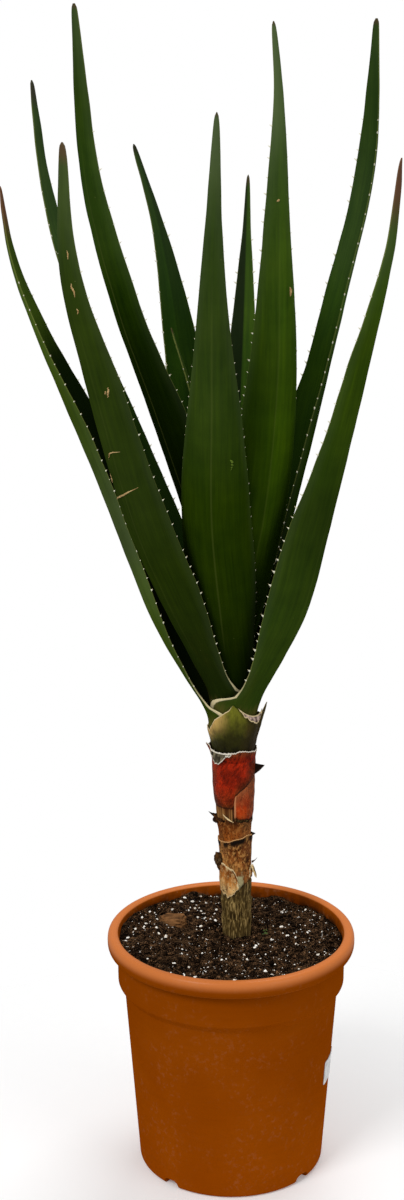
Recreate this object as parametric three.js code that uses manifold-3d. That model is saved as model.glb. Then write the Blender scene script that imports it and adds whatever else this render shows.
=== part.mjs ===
// Potted tree aloe: a bare-stemmed succulent with a rosette of long toothed leaves, in a round nursery pot.
// Millimetres, +Z up. The origin is on the pot's axis at its foot, and the plant's front faces -Y.
// Angles round the plant are degrees seen from above: 0 is +X, 90 is +Y (the back) and 270 is the front.
import * as THREE from "three";
import { mergeVertices } from "three/addons/utils/BufferGeometryUtils.js";
import Module from "manifold-3d";

const wasm = await Module();
wasm.setup();

// Driving dimensions
const GAP = 0.3; // clearance between pieces that rest on each other
const SEGMENTS = 36; // facets round the pot and the soil

const POT = {
  height: 240,
  rimRadius: 120, // outside of the rolled rim
  rimWidth: 10.5,
  rimDepth: 17.2,
  bandRadius: 110.5, // straight band below the rim
  bandFoot: 190,
  stepRadius: 103.9, // top of the tapered wall
  stepHeight: 182,
  footRadius: 90.4, // bottom of the tapered wall
  footRound: 4.5,
  wall: 2.1,
  standingRing: 72, // inner radius of the ring that the pot stands on
  centrePad: 14, // radius of the pad under the floor that stands with the ring
  floorUnder: 6.3,
  floor: 8.5,
  notches: { count: 4, first: 50, width: 15, height: 6 },
  drainHoles: { count: 4, radius: 6, ring: 50 },
};

const STEM = {
  foot: { x: 6, y: 6 }, // where the stem leaves the soil
  crown: { x: 2, y: 3 }, // axis of the rosette
  buriedEnd: 142,
  crownHeight: 450,
  // height and radius of the bare stem, from its buried end to the growing point
  profile: [
    [142, 8], [148, 12], [200, 13], [236, 14], [250, 14.9], [254, 14.2], [268, 15.1], [272, 14.3],
    [288, 15], [300, 14.6], [314, 14.4], [334, 15.2], [357, 15.8], [372, 17], [390, 18.4],
    [414, 18.2], [432, 18.9], [450, 20.6], [466, 18.6], [480, 17], [520, 12.1], [541, 9.5], [552, 8.1],
    [562, 6.6],
  ],
};

const SOIL = {
  edgeRadius: 108.7,
  level: 229.5,
  fallToRight: 5, // the surface drops this much from the left rim to the right one
  mound: 2.5, // rise at the stem
  lump: 1.9,
  holeClearance: 0.35,
  grains: { count: 34, radius: [1.4, 2.5] },
};

const CHIP = { x: -57, y: 34, length: 27, width: 20, height: 9 };

const LABEL = { from: -23, to: -2, low: 92, high: 117, thickness: 0.45 };

// Width along a leaf, as a share of its widest place: clasping base, waist, belly and a long thin tip
const OUTLINE = [
  [0, 1], [0.03, 0.8], [0.07, 0.66], [0.13, 0.74], [0.22, 0.93], [0.3, 1], [0.4, 0.96], [0.5, 0.8],
  [0.62, 0.57], [0.74, 0.36], [0.85, 0.22], [0.93, 0.15], [0.975, 0.1], [1, 0.03],
];
// Thickness along a leaf's middle, as a share of its thickest place
const FLESH = [
  [0, 0.2], [0.05, 0.3], [0.12, 0.6], [0.26, 1], [0.5, 0.8], [0.75, 0.55], [0.96, 0.42], [1, 0.14],
];

const BLADE = {
  thick: 8.5, // middle of the belly
  edge: 1.3, // flat rim that carries the teeth
  edgeTip: 0.9,
  channel: 42, // radius of the channel at the belly
  channelTip: 0.42, // and at the tip, as a share of that
  wrap: 1.25, // most that a base reaches round the stem each way, in radians
  columns: 7,
  stations: 15,
};

const TOOTH = {
  length: 3,
  root: 4.6,
  thick: 0.8,
  sunk: 1.8, // depth of its root in the blade
  spacing: 31,
  first: 0.07, // shares of the leaf's length where the teeth start and end
  last: 0.93,
  hook: 0.45, // how far the tip bends forward, as a share of its length
};

// The leaves, outermost first: the side each grows to, its widest width, and its spine as reach from the
// rosette's axis, height and sway to the left of its own direction. Twist turns the tip about the spine, in
// degrees, and slim above 1 narrows the upper blade.
const LEAVES = [
  {
    side: 170, width: 64,
    spine: [[21.8, 446], [23, 457], [28, 472], [65, 544], [125, 685], [182, 819], [204, 884], [213, 947]],
  },
  {
    side: 322, width: 70, wrap: 1.8, slim: 1.1, twist: 25,
    spine: [[21.3, 458], [23.4, 468], [28.5, 483], [72, 572], [100, 655], [138, 786], [168, 905], [176, 978]],
  },
  {
    side: 226, width: 68, slim: 0.8, twist: 12,
    spine: [[20, 466], [21.2, 475], [25, 488], [78, 583], [119, 661], [170, 802], [196, 890], [199, 993]],
  },
  {
    side: 261, width: 78, slim: 1.1,
    spine: [
      [19, 475], [21, 484], [25.6, 499], [54, 570, -2], [96, 668, -3], [137, 780, 4], [165, 890, 9],
      [172, 1017, 14],
    ],
  },
  {
    side: 142, width: 62,
    spine: [[17.8, 484], [19.8, 493], [25, 508], [56, 580], [117, 715], [189, 842], [226, 940], [241, 1038]],
  },
  {
    side: 20, width: 60, twist: 18,
    spine: [[16.8, 492], [18.5, 501], [22.5, 516], [38, 595], [72, 724], [104, 849], [130, 960], [135, 1091]],
  },
  {
    side: 118, width: 66,
    spine: [
      [15.7, 500], [17.4, 510], [21, 526], [42, 600], [72, 700, 5], [91, 800, 10], [112, 900, 18],
      [130, 981, 35],
    ],
  },
  {
    side: 290, width: 64, slim: 1.2,
    spine: [
      [14.6, 509], [16.4, 519], [20.5, 535], [44, 600], [78, 690, 2], [100, 800, 3], [109, 930],
      [106, 1030, 1], [96, 1087],
    ],
  },
  {
    side: 222, width: 60, slim: 0.85,
    spine: [[13.2, 520], [14.6, 530], [18, 548], [40, 640], [84, 750], [131, 858], [162, 962], [173, 1101]],
  },
  {
    side: 52, width: 44,
    spine: [[11.9, 530], [13.4, 541], [18, 560], [34, 640], [54, 730], [70, 800], [78, 850]],
  },
  {
    side: 80, width: 46,
    spine: [[10.5, 541], [11.8, 552], [15, 572], [24, 650], [40, 740], [60, 830], [80, 954]],
  },
  {
    side: 165, width: 26, thick: 5, wrap: 1,
    spine: [[8.9, 552], [9.2, 562], [10.2, 580], [15, 650], [34, 745], [58, 822]],
  },
];

// The dried sheaths of cut leaves round the stem, top to bottom. The edges are heights by angle, fit is
// the inner radius by height, and a flap stands off at its angle by its reach.
const SHEATHS = [
  {
    name: "sheath_olive", color: 0x6f6a3a, from: 96, to: 450, thickness: 1.2, rag: 1.5,
    low: [[0, 423], [360, 423]],
    high: [
      [0, 457], [110, 455], [135, 447], [206, 447], [230, 460], [262, 472], [270, 477], [285, 467],
      [360, 457],
    ],
    fit: [[422, 18.7], [436, 21], [449, 24.6], [480, 27.8]],
    flaps: [{ at: 349, width: 24, reach: 5, rise: 14 }],
  },
  {
    name: "sheath_papery", color: 0xd8cbb4, from: 110, to: 440, thickness: 0.8, rag: 3.2,
    low: [[0, 413], [225, 413], [245, 416], [360, 413]],
    high: [[0, 429], [190, 436], [215, 428], [360, 429]],
    fit: [[412, 20.4], [424, 21.1], [436, 23.5], [444, 25]],
    flaps: [{ at: 188, width: 20, reach: 3, rise: 6 }],
  },
  {
    name: "sheath_red", color: 0x96341a, from: 110, to: 440, thickness: 1.3, rag: 1,
    low: [[0, 391], [84, 391], [110, 368], [262, 369], [282, 390], [360, 391]],
    high: [[0, 411], [360, 411]],
    fit: [[366, 17.3], [388, 19.1], [412, 19]],
    flaps: [{ at: 352, width: 30, reach: 10, rise: -2 }],
  },
  {
    name: "sheath_orange", color: 0xb5532a, from: 286, to: 440, thickness: 1.2, rag: 0.8,
    low: [[0, 358], [360, 358]],
    high: [[0, 388], [290, 372], [330, 386], [360, 388]],
    fit: [[356, 16.4], [390, 18.9]],
    flaps: [],
  },
  {
    name: "sheath_brown", color: 0x9a5a30, from: 112, to: 440, thickness: 1.1, rag: 1.4,
    low: [[0, 341], [360, 341]],
    high: [[0, 356], [190, 357], [278, 355], [360, 356]],
    fit: [[340, 15.7], [358, 16.3]],
    flaps: [{ at: 190, width: 36, reach: 8, rise: 6 }],
  },
  {
    name: "sheath_tan", color: 0xb98450, from: 120, to: 446, thickness: 1, rag: 1.4,
    low: [[0, 316], [200, 328], [250, 322], [275, 314], [360, 316]],
    high: [[0, 338], [360, 338]],
    fit: [[312, 14.9], [340, 15.8]],
    flaps: [{ at: 350, width: 30, reach: 4, rise: -3 }],
  },
  {
    name: "sheath_low", color: 0xc9ad80, from: 172, to: 356, thickness: 0.9, rag: 2,
    low: [[0, 286], [190, 292], [230, 287], [268, 296], [300, 303], [360, 299]],
    high: [[0, 312], [172, 316], [200, 321], [250, 316], [268, 310], [360, 309]],
    fit: [[284, 15.6], [312, 15.2], [326, 15.7]],
    flaps: [{ at: 190, width: 30, reach: 6, rise: 3 }, { at: 344, width: 24, reach: 5, rise: 0 }],
  },
];

const COLORS = {
  pot: 0xa8501c,
  soil: 0x2b1e17,
  chip: 0x5b4030,
  label: 0xe8e8e4,
  stem: 0x8a7a52,
  leaf: 0x2f4a1c,
};

const rad = THREE.MathUtils.degToRad;
const { lerp } = THREE.MathUtils;

// Repeatable random numbers from 0 to 1.
function randomFrom(seed) {
  let state = seed >>> 0;
  return () => {
    state = (state + 0x6d2b79f5) >>> 0;
    let t = Math.imul(state ^ (state >>> 15), 1 | state);
    t = (t + Math.imul(t ^ (t >>> 7), 61 | t)) ^ t;
    return ((t ^ (t >>> 14)) >>> 0) / 4294967296;
  };
}

// Value at x of a list of [x, value] pairs in rising order, joined by straight lines.
function along(pairs, x) {
  const last = pairs.length - 1;
  if (x <= pairs[0][0]) return pairs[0][1];
  if (x >= pairs[last][0]) return pairs[last][1];
  const i = pairs.findIndex(([at]) => at > x);
  const [x0, v0] = pairs[i - 1];
  const [x1, v1] = pairs[i];
  return lerp(v0, v1, (x - x0) / (x1 - x0));
}

// A closed geometry as a solid: seams merged and triangles without area dropped.
function solidOf(geometry) {
  const bare = geometry.clone();
  for (const name of Object.keys(bare.attributes)) if (name !== "position") bare.deleteAttribute(name);
  const merged = mergeVertices(bare, 1e-4);
  const from = merged.index.array;
  const triVerts = [];
  for (let i = 0; i < from.length; i += 3) {
    const [a, b, c] = [from[i], from[i + 1], from[i + 2]];
    if (a !== b && b !== c && c !== a) triVerts.push(a, b, c);
  }
  const mesh = new wasm.Mesh({
    numProp: 3,
    vertProperties: Float32Array.from(merged.attributes.position.array),
    triVerts: Uint32Array.from(triVerts),
  });
  return new wasm.Manifold(mesh);
}

// A solid as a named mesh in its own colour.
function piece(name, solid, color, roughness) {
  const { vertProperties, triVerts } = solid.getMesh();
  const geometry = new THREE.BufferGeometry();
  geometry.setAttribute("position", new THREE.BufferAttribute(vertProperties, 3));
  geometry.setIndex(new THREE.BufferAttribute(triVerts, 1));
  geometry.computeVertexNormals();
  const mesh = new THREE.Mesh(geometry, new THREE.MeshStandardMaterial({ color, roughness, metalness: 0 }));
  mesh.name = name;
  return mesh;
}

// A closed skin over rings of equally many points, each ring running anticlockwise seen from the last one.
// Each end is closed by strips across its ring.
function loft(rings) {
  const count = rings[0].length;
  const index = [];
  const quad = (a, b, c, d) => index.push(a, b, c, a, c, d);
  for (let i = 0; i + 1 < rings.length; i++) {
    for (let j = 0; j < count; j++) {
      const next = (j + 1) % count;
      quad(i * count + j, i * count + next, (i + 1) * count + next, (i + 1) * count + j);
    }
  }
  const top = (rings.length - 1) * count;
  for (let j = 0; j < count / 2 - 1; j++) {
    const [a, b, c, d] = [j, j + 1, count - 2 - j, count - 1 - j];
    quad(d, c, b, a);
    quad(top + a, top + b, top + c, top + d);
  }
  const geometry = new THREE.BufferGeometry().setFromPoints(rings.flat());
  return geometry.setIndex(index);
}

// Points along an arc of an oval, for a turned profile.
function ovalArc(x, z, rx, rz, from, to, steps) {
  return Array.from({ length: steps + 1 }, (_, i) => {
    const a = rad(lerp(from, to, i / steps));
    return new THREE.Vector2(x + rx * Math.cos(a), z + rz * Math.sin(a));
  });
}

// A profile of radius and height turned about Z.
function turned(profile) {
  return solidOf(new THREE.LatheGeometry(profile, SEGMENTS).rotateX(Math.PI / 2));
}

function makePot() {
  const p = POT;
  const rimX = p.rimRadius - p.rimWidth / 2;
  const rimZ = p.height - p.rimDepth / 2;
  const at = (r, z) => new THREE.Vector2(r, z);
  const profile = [
    at(0, 0),
    at(p.centrePad, 0),
    at(p.centrePad + 2, p.floorUnder),
    at(p.standingRing - 2, p.floorUnder),
    at(p.standingRing, 0),
    ...ovalArc(p.footRadius - p.footRound, p.footRound, p.footRound, p.footRound, -90, -6, 3),
    at(p.stepRadius, p.stepHeight),
    at(p.bandRadius - 0.4, p.bandFoot),
    at(p.bandRadius, rimZ - 3),
    at(p.bandRadius + 1.2, rimZ - 1), // hollow under the rolled rim
    at(p.rimRadius - p.wall - 1.2, rimZ - 6),
    ...ovalArc(rimX, rimZ, p.rimWidth / 2, p.rimDepth / 2, -48, 180, 8),
    at(p.bandRadius - p.wall, p.bandFoot + 20),
    at(p.bandRadius - p.wall - 0.4, p.bandFoot),
    at(p.stepRadius - p.wall, p.stepHeight),
    at(p.footRadius - p.wall, p.floor + 4),
    at(p.footRadius - p.wall - 3.5, p.floor),
    at(0, p.floor),
  ];
  let pot = turned(profile);
  const turnedTo = (geometry, degrees) => solidOf(geometry.rotateZ(rad(degrees)));
  for (let i = 0; i < p.notches.count; i++) {
    const side = p.notches.first + (360 / p.notches.count) * i;
    const notch = new THREE.BoxGeometry(30, p.notches.width, 2 * p.notches.height);
    pot = pot.subtract(turnedTo(notch.translate(p.footRadius - 8, 0, 0), side));
  }
  for (let i = 0; i < p.drainHoles.count; i++) {
    const side = p.notches.first + (360 / p.drainHoles.count) * i;
    const hole = new THREE.CylinderGeometry(p.drainHoles.radius, p.drainHoles.radius, 4 * p.wall, 8);
    pot = pot.subtract(turnedTo(hole.rotateX(Math.PI / 2).translate(p.drainHoles.ring, 0, p.floor), side));
  }
  return piece("pot", pot, COLORS.pot, 0.5);
}

// Centre of the stem at a height: it leans a little from its foot to the crown.
function stemCentre(z) {
  const share = THREE.MathUtils.clamp((z - SOIL.level) / (STEM.crownHeight - SOIL.level), 0, 1);
  return { x: lerp(STEM.foot.x, STEM.crown.x, share), y: lerp(STEM.foot.y, STEM.crown.y, share) };
}

function ringRound(centre, z, radius, count) {
  return Array.from({ length: count }, (_, j) => {
    const a = (2 * Math.PI * j) / count;
    return new THREE.Vector3(centre.x + radius(a) * Math.cos(a), centre.y + radius(a) * Math.sin(a), z);
  });
}

function makeStem() {
  const sides = 18;
  const rings = STEM.profile.map(([z, r]) => {
    const lobes = z > 236 && z < 310 ? 0.25 : 0; // the woody foot isn't quite round
    return ringRound(stemCentre(z), z, (a) => r + lobes * Math.cos(3 * a + z / 9), sides);
  });
  return piece("stem", solidOf(loft(rings)), COLORS.stem, 0.85);
}

// Height of the soil's surface.
function soilHeight(x, y) {
  const fromStem = Math.hypot(x - STEM.foot.x, y - STEM.foot.y);
  const tilt = (-x / SOIL.edgeRadius) * (SOIL.fallToRight / 2);
  const mound = SOIL.mound * Math.exp(-((fromStem / 42) ** 2));
  const small = Math.sin(x / 7.3 + 1) * Math.cos(y / 8.1);
  const broad = Math.sin((x + y) / 12.7) * Math.cos((x - 2 * y) / 15.1);
  const fade = THREE.MathUtils.smoothstep(fromStem, 16, 34);
  return SOIL.level + tilt + mound + SOIL.lump * (small + broad) * fade;
}

function soilSolid() {
  const p = POT;
  const axis = { x: 0, y: 0 };
  const level = (r, z) => ringRound(axis, z, () => r, SEGMENTS);
  const holeRadius = along(STEM.profile, 250) + SOIL.holeClearance;
  const bottom = p.floor + GAP;
  const rings = [
    level(0.01, bottom),
    level(p.footRadius - p.wall - 4, bottom),
    level(p.footRadius - p.wall - GAP, p.floor + 4.2),
    level(p.stepRadius - p.wall - GAP, p.stepHeight + 0.2),
    level(p.bandRadius - p.wall - GAP - 0.5, p.bandFoot + 0.4),
    level(p.bandRadius - p.wall - GAP - 0.2, p.bandFoot + 19),
    level(SOIL.edgeRadius, SOIL.level - 6),
  ];
  // The surface's rings run in from the pot's wall to the hole round the stem.
  const shares = [1, 0.9, 0.74, 0.56, 0.38, 0.2, 0.07, 0];
  const spots = []; // where a grain can lie
  for (const share of shares) {
    const ring = Array.from({ length: SEGMENTS }, (_, j) => {
      const a = (2 * Math.PI * j) / SEGMENTS;
      const x = lerp(STEM.foot.x + holeRadius * Math.cos(a), SOIL.edgeRadius * Math.cos(a), share);
      const y = lerp(STEM.foot.y + holeRadius * Math.sin(a), SOIL.edgeRadius * Math.sin(a), share);
      return new THREE.Vector3(x, y, soilHeight(x, y));
    });
    rings.push(ring);
    if (share > 0.1 && share < 1) spots.push(...ring);
  }
  rings.push(ringRound(STEM.foot, STEM.buriedEnd - GAP, () => holeRadius, SEGMENTS));
  rings.push(ringRound(STEM.foot, STEM.buriedEnd - GAP, () => 0.01, SEGMENTS));
  const bed = solidOf(loft(rings));
  // Grains of perlite, half sunk in the surface
  const random = randomFrom(11);
  const grains = Array.from({ length: SOIL.grains.count }, () => {
    const { x, y, z } = spots[Math.floor(random() * spots.length)];
    const grain = new THREE.OctahedronGeometry(lerp(...SOIL.grains.radius, random()));
    return solidOf(grain.rotateX(3 * random()).rotateY(3 * random()).translate(x, y, z));
  });
  return wasm.Manifold.union([bed, ...grains]);
}

function makeChip(soil) {
  const random = randomFrom(5);
  const ball = new THREE.IcosahedronGeometry(1, 1).deleteAttribute("normal").deleteAttribute("uv");
  const lump = mergeVertices(ball, 1e-3);
  const points = lump.attributes.position;
  for (let i = 0; i < points.count; i++) {
    const grow = 0.82 + 0.3 * random();
    points.setXYZ(i, points.getX(i) * grow, points.getY(i) * grow, points.getZ(i) * grow);
  }
  lump.scale(CHIP.length / 2, CHIP.width / 2, CHIP.height);
  lump.rotateZ(rad(-14)).translate(CHIP.x, CHIP.y, soilHeight(CHIP.x, CHIP.y) - 1);
  const chip = solidOf(lump).subtract(soil.translate([0, 0, GAP]));
  const bodies = chip.decompose().sort((a, b) => b.volume() - a.volume());
  return piece("bark_chip", bodies[0], COLORS.chip, 0.95);
}

// A bent sheet between two radii: grids of columns round and rows up, with its four edges closed.
function wrapSheet(columns, rows, inner, outer) {
  const points = [];
  const count = (columns + 1) * (rows + 1);
  for (const face of [inner, outer]) {
    for (let i = 0; i <= rows; i++) {
      for (let j = 0; j <= columns; j++) points.push(face(j / columns, i / rows));
    }
  }
  const index = [];
  const quad = (a, b, c, d) => index.push(a, b, c, a, c, d);
  const id = (side, i, j) => side * count + i * (columns + 1) + j;
  for (let i = 0; i < rows; i++) {
    for (let j = 0; j < columns; j++) {
      quad(id(1, i, j), id(1, i, j + 1), id(1, i + 1, j + 1), id(1, i + 1, j));
      quad(id(0, i, j), id(0, i + 1, j), id(0, i + 1, j + 1), id(0, i, j + 1));
    }
    quad(id(0, i, 0), id(1, i, 0), id(1, i + 1, 0), id(0, i + 1, 0));
    quad(id(0, i, columns), id(0, i + 1, columns), id(1, i + 1, columns), id(1, i, columns));
  }
  for (let j = 0; j < columns; j++) {
    quad(id(0, 0, j), id(0, 0, j + 1), id(1, 0, j + 1), id(1, 0, j));
    quad(id(0, rows, j), id(1, rows, j), id(1, rows, j + 1), id(0, rows, j + 1));
  }
  return solidOf(new THREE.BufferGeometry().setFromPoints(points).setIndex(index));
}

function makeSheath(sheath, seed) {
  const random = randomFrom(seed);
  const columns = Math.max(8, Math.round((sheath.to - sheath.from) / 20));
  const rows = 2;
  const rags = Array.from({ length: columns + 1 }, () => [random() - 0.5, random() - 0.5]);
  const point = (share, up, lift) => {
    const angle = lerp(sheath.from, sheath.to, share);
    const side = angle % 360;
    const rag = rags[Math.round(share * columns)];
    let low = along(sheath.low, side) + sheath.rag * rag[0] * 0.5;
    let high = along(sheath.high, side) + sheath.rag * rag[1] * 2;
    let reach = 0;
    for (const flap of sheath.flaps) {
      const near = Math.max(0, 1 - Math.abs(side - flap.at) / (flap.width / 2));
      reach += flap.reach * near * up ** 2;
      high += flap.rise * near;
    }
    const z = lerp(low, high, up);
    const radius = along(sheath.fit, z) + reach + lift;
    const centre = stemCentre(z);
    const a = rad(angle);
    return new THREE.Vector3(centre.x + radius * Math.cos(a), centre.y + radius * Math.sin(a), z);
  };
  const inner = (share, up) => point(share, up, 0);
  const outer = (share, up) => point(share, up, sheath.thickness);
  const solid = wrapSheet(columns, rows, inner, outer);
  return piece(sheath.name, solid, sheath.color, 0.8);
}

// Position and directions of a leaf's section at a share of its length, in the rosette's own frame.
function leafSection(leaf, curve, share) {
  const centre = curve.getPointAt(share);
  const run = curve.getTangentAt(share);
  const across = new THREE.Vector3(0, 1, 0).addScaledVector(run, -run.y).normalize();
  across.applyAxisAngle(run, rad((leaf.twist ?? 0) * share ** 2));
  const inward = new THREE.Vector3().crossVectors(run, across);
  const channel = BLADE.channel * lerp(1, BLADE.channelTip, share);
  const bend = Math.min(centre.x / Math.max(run.z, 0.5), channel);
  const halfWidth = (leaf.width / 2) * along(OUTLINE, share) ** (share > 0.3 ? (leaf.slim ?? 1) : 1);
  const span = Math.min(halfWidth / bend, leaf.wrap ?? BLADE.wrap);
  const thick = (leaf.thick ?? BLADE.thick) * along(FLESH, share);
  const edge = Math.min(lerp(BLADE.edge, BLADE.edgeTip, share), thick);
  // A point at q from -1 to 1 across the blade, lifted off its middle surface by so many thicknesses
  const at = (q, lift) => {
    const radius = bend + lift * (edge + (thick - edge) * (1 - q * q));
    const point = centre.clone().addScaledVector(inward, bend - radius * Math.cos(q * span));
    return point.addScaledVector(across, radius * Math.sin(q * span));
  };
  const outward = (side) => {
    const direction = across.clone().multiplyScalar(side * Math.cos(span));
    return direction.addScaledVector(inward, Math.sin(span));
  };
  return { at, run, outward };
}

// A thorn of three sides at a leaf's margin, its root sunk in the blade.
function tooth(section, side, scale) {
  const t = TOOTH;
  const out = section.outward(side);
  const face = new THREE.Vector3().crossVectors(out, section.run).normalize();
  const margin = section.at(side, 0.1);
  const root = margin.clone().addScaledVector(out, -t.sunk);
  const tip = margin.clone().addScaledVector(out, t.length * scale);
  tip.addScaledVector(section.run, t.hook * t.length * scale);
  const corners = [
    root.clone().addScaledVector(section.run, -t.root / 2).addScaledVector(face, -t.thick / 2),
    root.clone().addScaledVector(section.run, t.root / 2).addScaledVector(face, -t.thick / 2),
    root.clone().addScaledVector(face, t.thick / 2),
    tip,
  ];
  const geometry = new THREE.BufferGeometry().setFromPoints(corners);
  const solid = solidOf(geometry.setIndex([0, 2, 1, 0, 1, 3, 1, 2, 3, 2, 0, 3]));
  return solid.volume() < 0 ? solidOf(geometry.setIndex([0, 1, 2, 0, 3, 1, 1, 3, 2, 2, 3, 0])) : solid;
}

function makeLeaf(leaf, number) {
  const points = leaf.spine.map(([reach, height, sway = 0]) => new THREE.Vector3(reach, sway, height));
  const curve = new THREE.CatmullRomCurve3(points, false, "centripetal");
  const { columns, stations } = BLADE;
  const rings = [];
  for (let i = 0; i <= stations; i++) {
    const share = (i / stations) ** 1.1; // closer together at the clasping base
    const section = leafSection(leaf, curve, share);
    const q = (j) => (2 * j) / (columns - 1) - 1;
    const outer = Array.from({ length: columns }, (_, j) => section.at(q(j), 0.6));
    const inner = Array.from({ length: columns }, (_, j) => section.at(q(columns - 1 - j), -0.4));
    rings.push([...outer, ...inner]);
  }
  const blade = solidOf(loft(rings));
  const random = randomFrom(100 + number);
  const length = curve.getLength();
  const teeth = [];
  for (const side of [-1, 1]) {
    for (let s = TOOTH.first * length; s < TOOTH.last * length; s += TOOTH.spacing * (0.8 + 0.4 * random())) {
      const share = s / length;
      teeth.push(tooth(leafSection(leaf, curve, share), side, lerp(1.1, 0.7, share)));
    }
  }
  const solid = wasm.Manifold.union([blade, ...teeth]);
  const mesh = piece("leaf_" + String(number).padStart(2, "0"), solid, COLORS.leaf, 0.5);
  mesh.rotation.z = rad(leaf.side);
  return mesh;
}

function makeLabel() {
  const columns = 6;
  const wall = [[POT.footRound, POT.footRadius], [POT.stepHeight, POT.stepRadius]];
  const point = (share, up, lift) => {
    const a = rad(lerp(LABEL.from, LABEL.to, share));
    const z = lerp(LABEL.low, LABEL.high, up);
    const radius = along(wall, z) + GAP + lift;
    return new THREE.Vector3(radius * Math.cos(a), radius * Math.sin(a), z);
  };
  const inner = (share, up) => point(share, up, 0);
  const outer = (share, up) => point(share, up, LABEL.thickness);
  return piece("label", wrapSheet(columns, 1, inner, outer), COLORS.label, 0.6);
}

const plant = new THREE.Group();
const rosette = new THREE.Group();
rosette.position.set(STEM.crown.x, STEM.crown.y, 0);
LEAVES.forEach((leaf, i) => rosette.add(makeLeaf(leaf, i + 1)));
const soil = soilSolid();
plant.add(makePot(), piece("soil", soil, COLORS.soil, 1), makeChip(soil), makeLabel(), makeStem(), rosette);
SHEATHS.forEach((sheath, i) => plant.add(makeSheath(sheath, 30 + i)));

export default plant;
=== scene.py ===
"""Potted tree aloe, dressed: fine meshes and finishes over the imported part, with a studio and a camera.

Metres, +Z up, in the frame of the part: the pot's axis is Z, its foot is at 0 and the plant's front faces -Y.
Angles round the plant are degrees seen from above: 0 is +X, 90 is +Y (the back) and 270 is the front.
"""

import enum
import functools
import logging
import math
import random
from collections.abc import Iterable, Mapping, Sequence
from dataclasses import dataclass, field
from typing import Any

import bmesh
import bpy
from mathutils import Matrix, Vector, noise


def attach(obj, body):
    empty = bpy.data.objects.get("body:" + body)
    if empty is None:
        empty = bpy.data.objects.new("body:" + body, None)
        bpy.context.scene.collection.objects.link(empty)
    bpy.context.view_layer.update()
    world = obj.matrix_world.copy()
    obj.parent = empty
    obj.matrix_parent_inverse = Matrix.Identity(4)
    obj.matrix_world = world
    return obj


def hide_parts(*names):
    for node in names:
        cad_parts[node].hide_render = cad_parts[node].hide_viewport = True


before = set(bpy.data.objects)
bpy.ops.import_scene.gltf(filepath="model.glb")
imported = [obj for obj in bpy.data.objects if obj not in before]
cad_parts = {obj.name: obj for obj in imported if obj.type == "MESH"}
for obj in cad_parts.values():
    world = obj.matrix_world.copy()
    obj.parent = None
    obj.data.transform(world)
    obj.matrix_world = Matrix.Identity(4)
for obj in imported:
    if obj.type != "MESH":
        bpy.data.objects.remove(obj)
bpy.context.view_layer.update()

LOG = logging.getLogger("tree_aloe")
BODY = "root"
MM = 0.001
STEM_RADIUS = 0.016

Pairs = Sequence[tuple[float, float]]
Color = tuple[float, float, float, float]
Rows = Sequence[Sequence[Vector]]
Shape = tuple[list[Vector], list[list[int]]]


def lerp(start: float, end: float, share: float) -> float:
    """Value at a share of the way from start to end."""
    return start + (end - start) * share


def clamp(value: float, low: float = 0.0, high: float = 1.0) -> float:
    """The value, held between low and high."""
    return max(low, min(high, value))


def smoothstep(value: float, low: float, high: float) -> float:
    """Smooth rise from 0 at low to 1 at high."""
    share = clamp((value - low) / (high - low))
    return share * share * (3.0 - 2.0 * share)


def along(pairs: Pairs, x: float) -> float:
    """Value at x of a list of (x, value) pairs in rising order, joined by straight lines.

    Args:
        pairs: The pairs.
        x: Where the value is wanted. Past an end, the end's value holds.

    Returns:
        The value.
    """
    if x <= pairs[0][0]:
        return pairs[0][1]
    for (x0, v0), (x1, v1) in zip(pairs, pairs[1:]):
        if x < x1:
            return lerp(v0, v1, (x - x0) / (x1 - x0))
    return pairs[-1][1]


def eased(pairs: Pairs, x: float) -> float:
    """Value at x of (x, value) pairs joined by a smooth curve that never overshoots a pair.

    Args:
        pairs: The pairs, in rising order.
        x: Where the value is wanted.

    Returns:
        The value.
    """
    last = len(pairs) - 1
    x = clamp(x, pairs[0][0], pairs[last][0])
    i = next((k for k in range(last) if x <= pairs[k + 1][0]), last - 1)
    slopes = [(b[1] - a[1]) / (b[0] - a[0]) for a, b in zip(pairs, pairs[1:])]

    def tangent(k: int) -> float:
        """Slope of the curve at pair k.

        Args:
            k: The pair's number.

        Returns:
            The slope.
        """
        if k == 0 or k == last:
            return slopes[min(k, last - 1)]
        before, after = slopes[k - 1], slopes[k]
        return 0.0 if before * after <= 0 else 2.0 * before * after / (before + after)

    (x0, v0), (x1, v1) = pairs[i], pairs[i + 1]
    span = x1 - x0
    t = (x - x0) / span
    rise = 3 * t * t - 2 * t**3
    return (
        lerp(v0, v1, rise)
        + span * tangent(i) * (t**3 - 2 * t * t + t)
        + span * tangent(i + 1) * (t**3 - t * t)
    )


def ripple(point: Vector, size: float, octaves: int = 3) -> float:
    """Fractal noise from about -1 to 1, with features of the given size."""
    return noise.fractal(point / size, 1.0, 2.0, octaves)


def srgb(red: int, green: int, blue: int) -> Color:
    """A screen colour of 0 to 255 as the linear colour that shaders take.

    Args:
        red: Red, 0 to 255.
        green: Green.
        blue: Blue.

    Returns:
        The colour.
    """

    def linear(level: int) -> float:
        """One channel."""
        share = level / 255
        return share / 12.92 if share <= 0.04045 else ((share + 0.055) / 1.055) ** 2.4

    return linear(red), linear(green), linear(blue), 1.0


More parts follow.
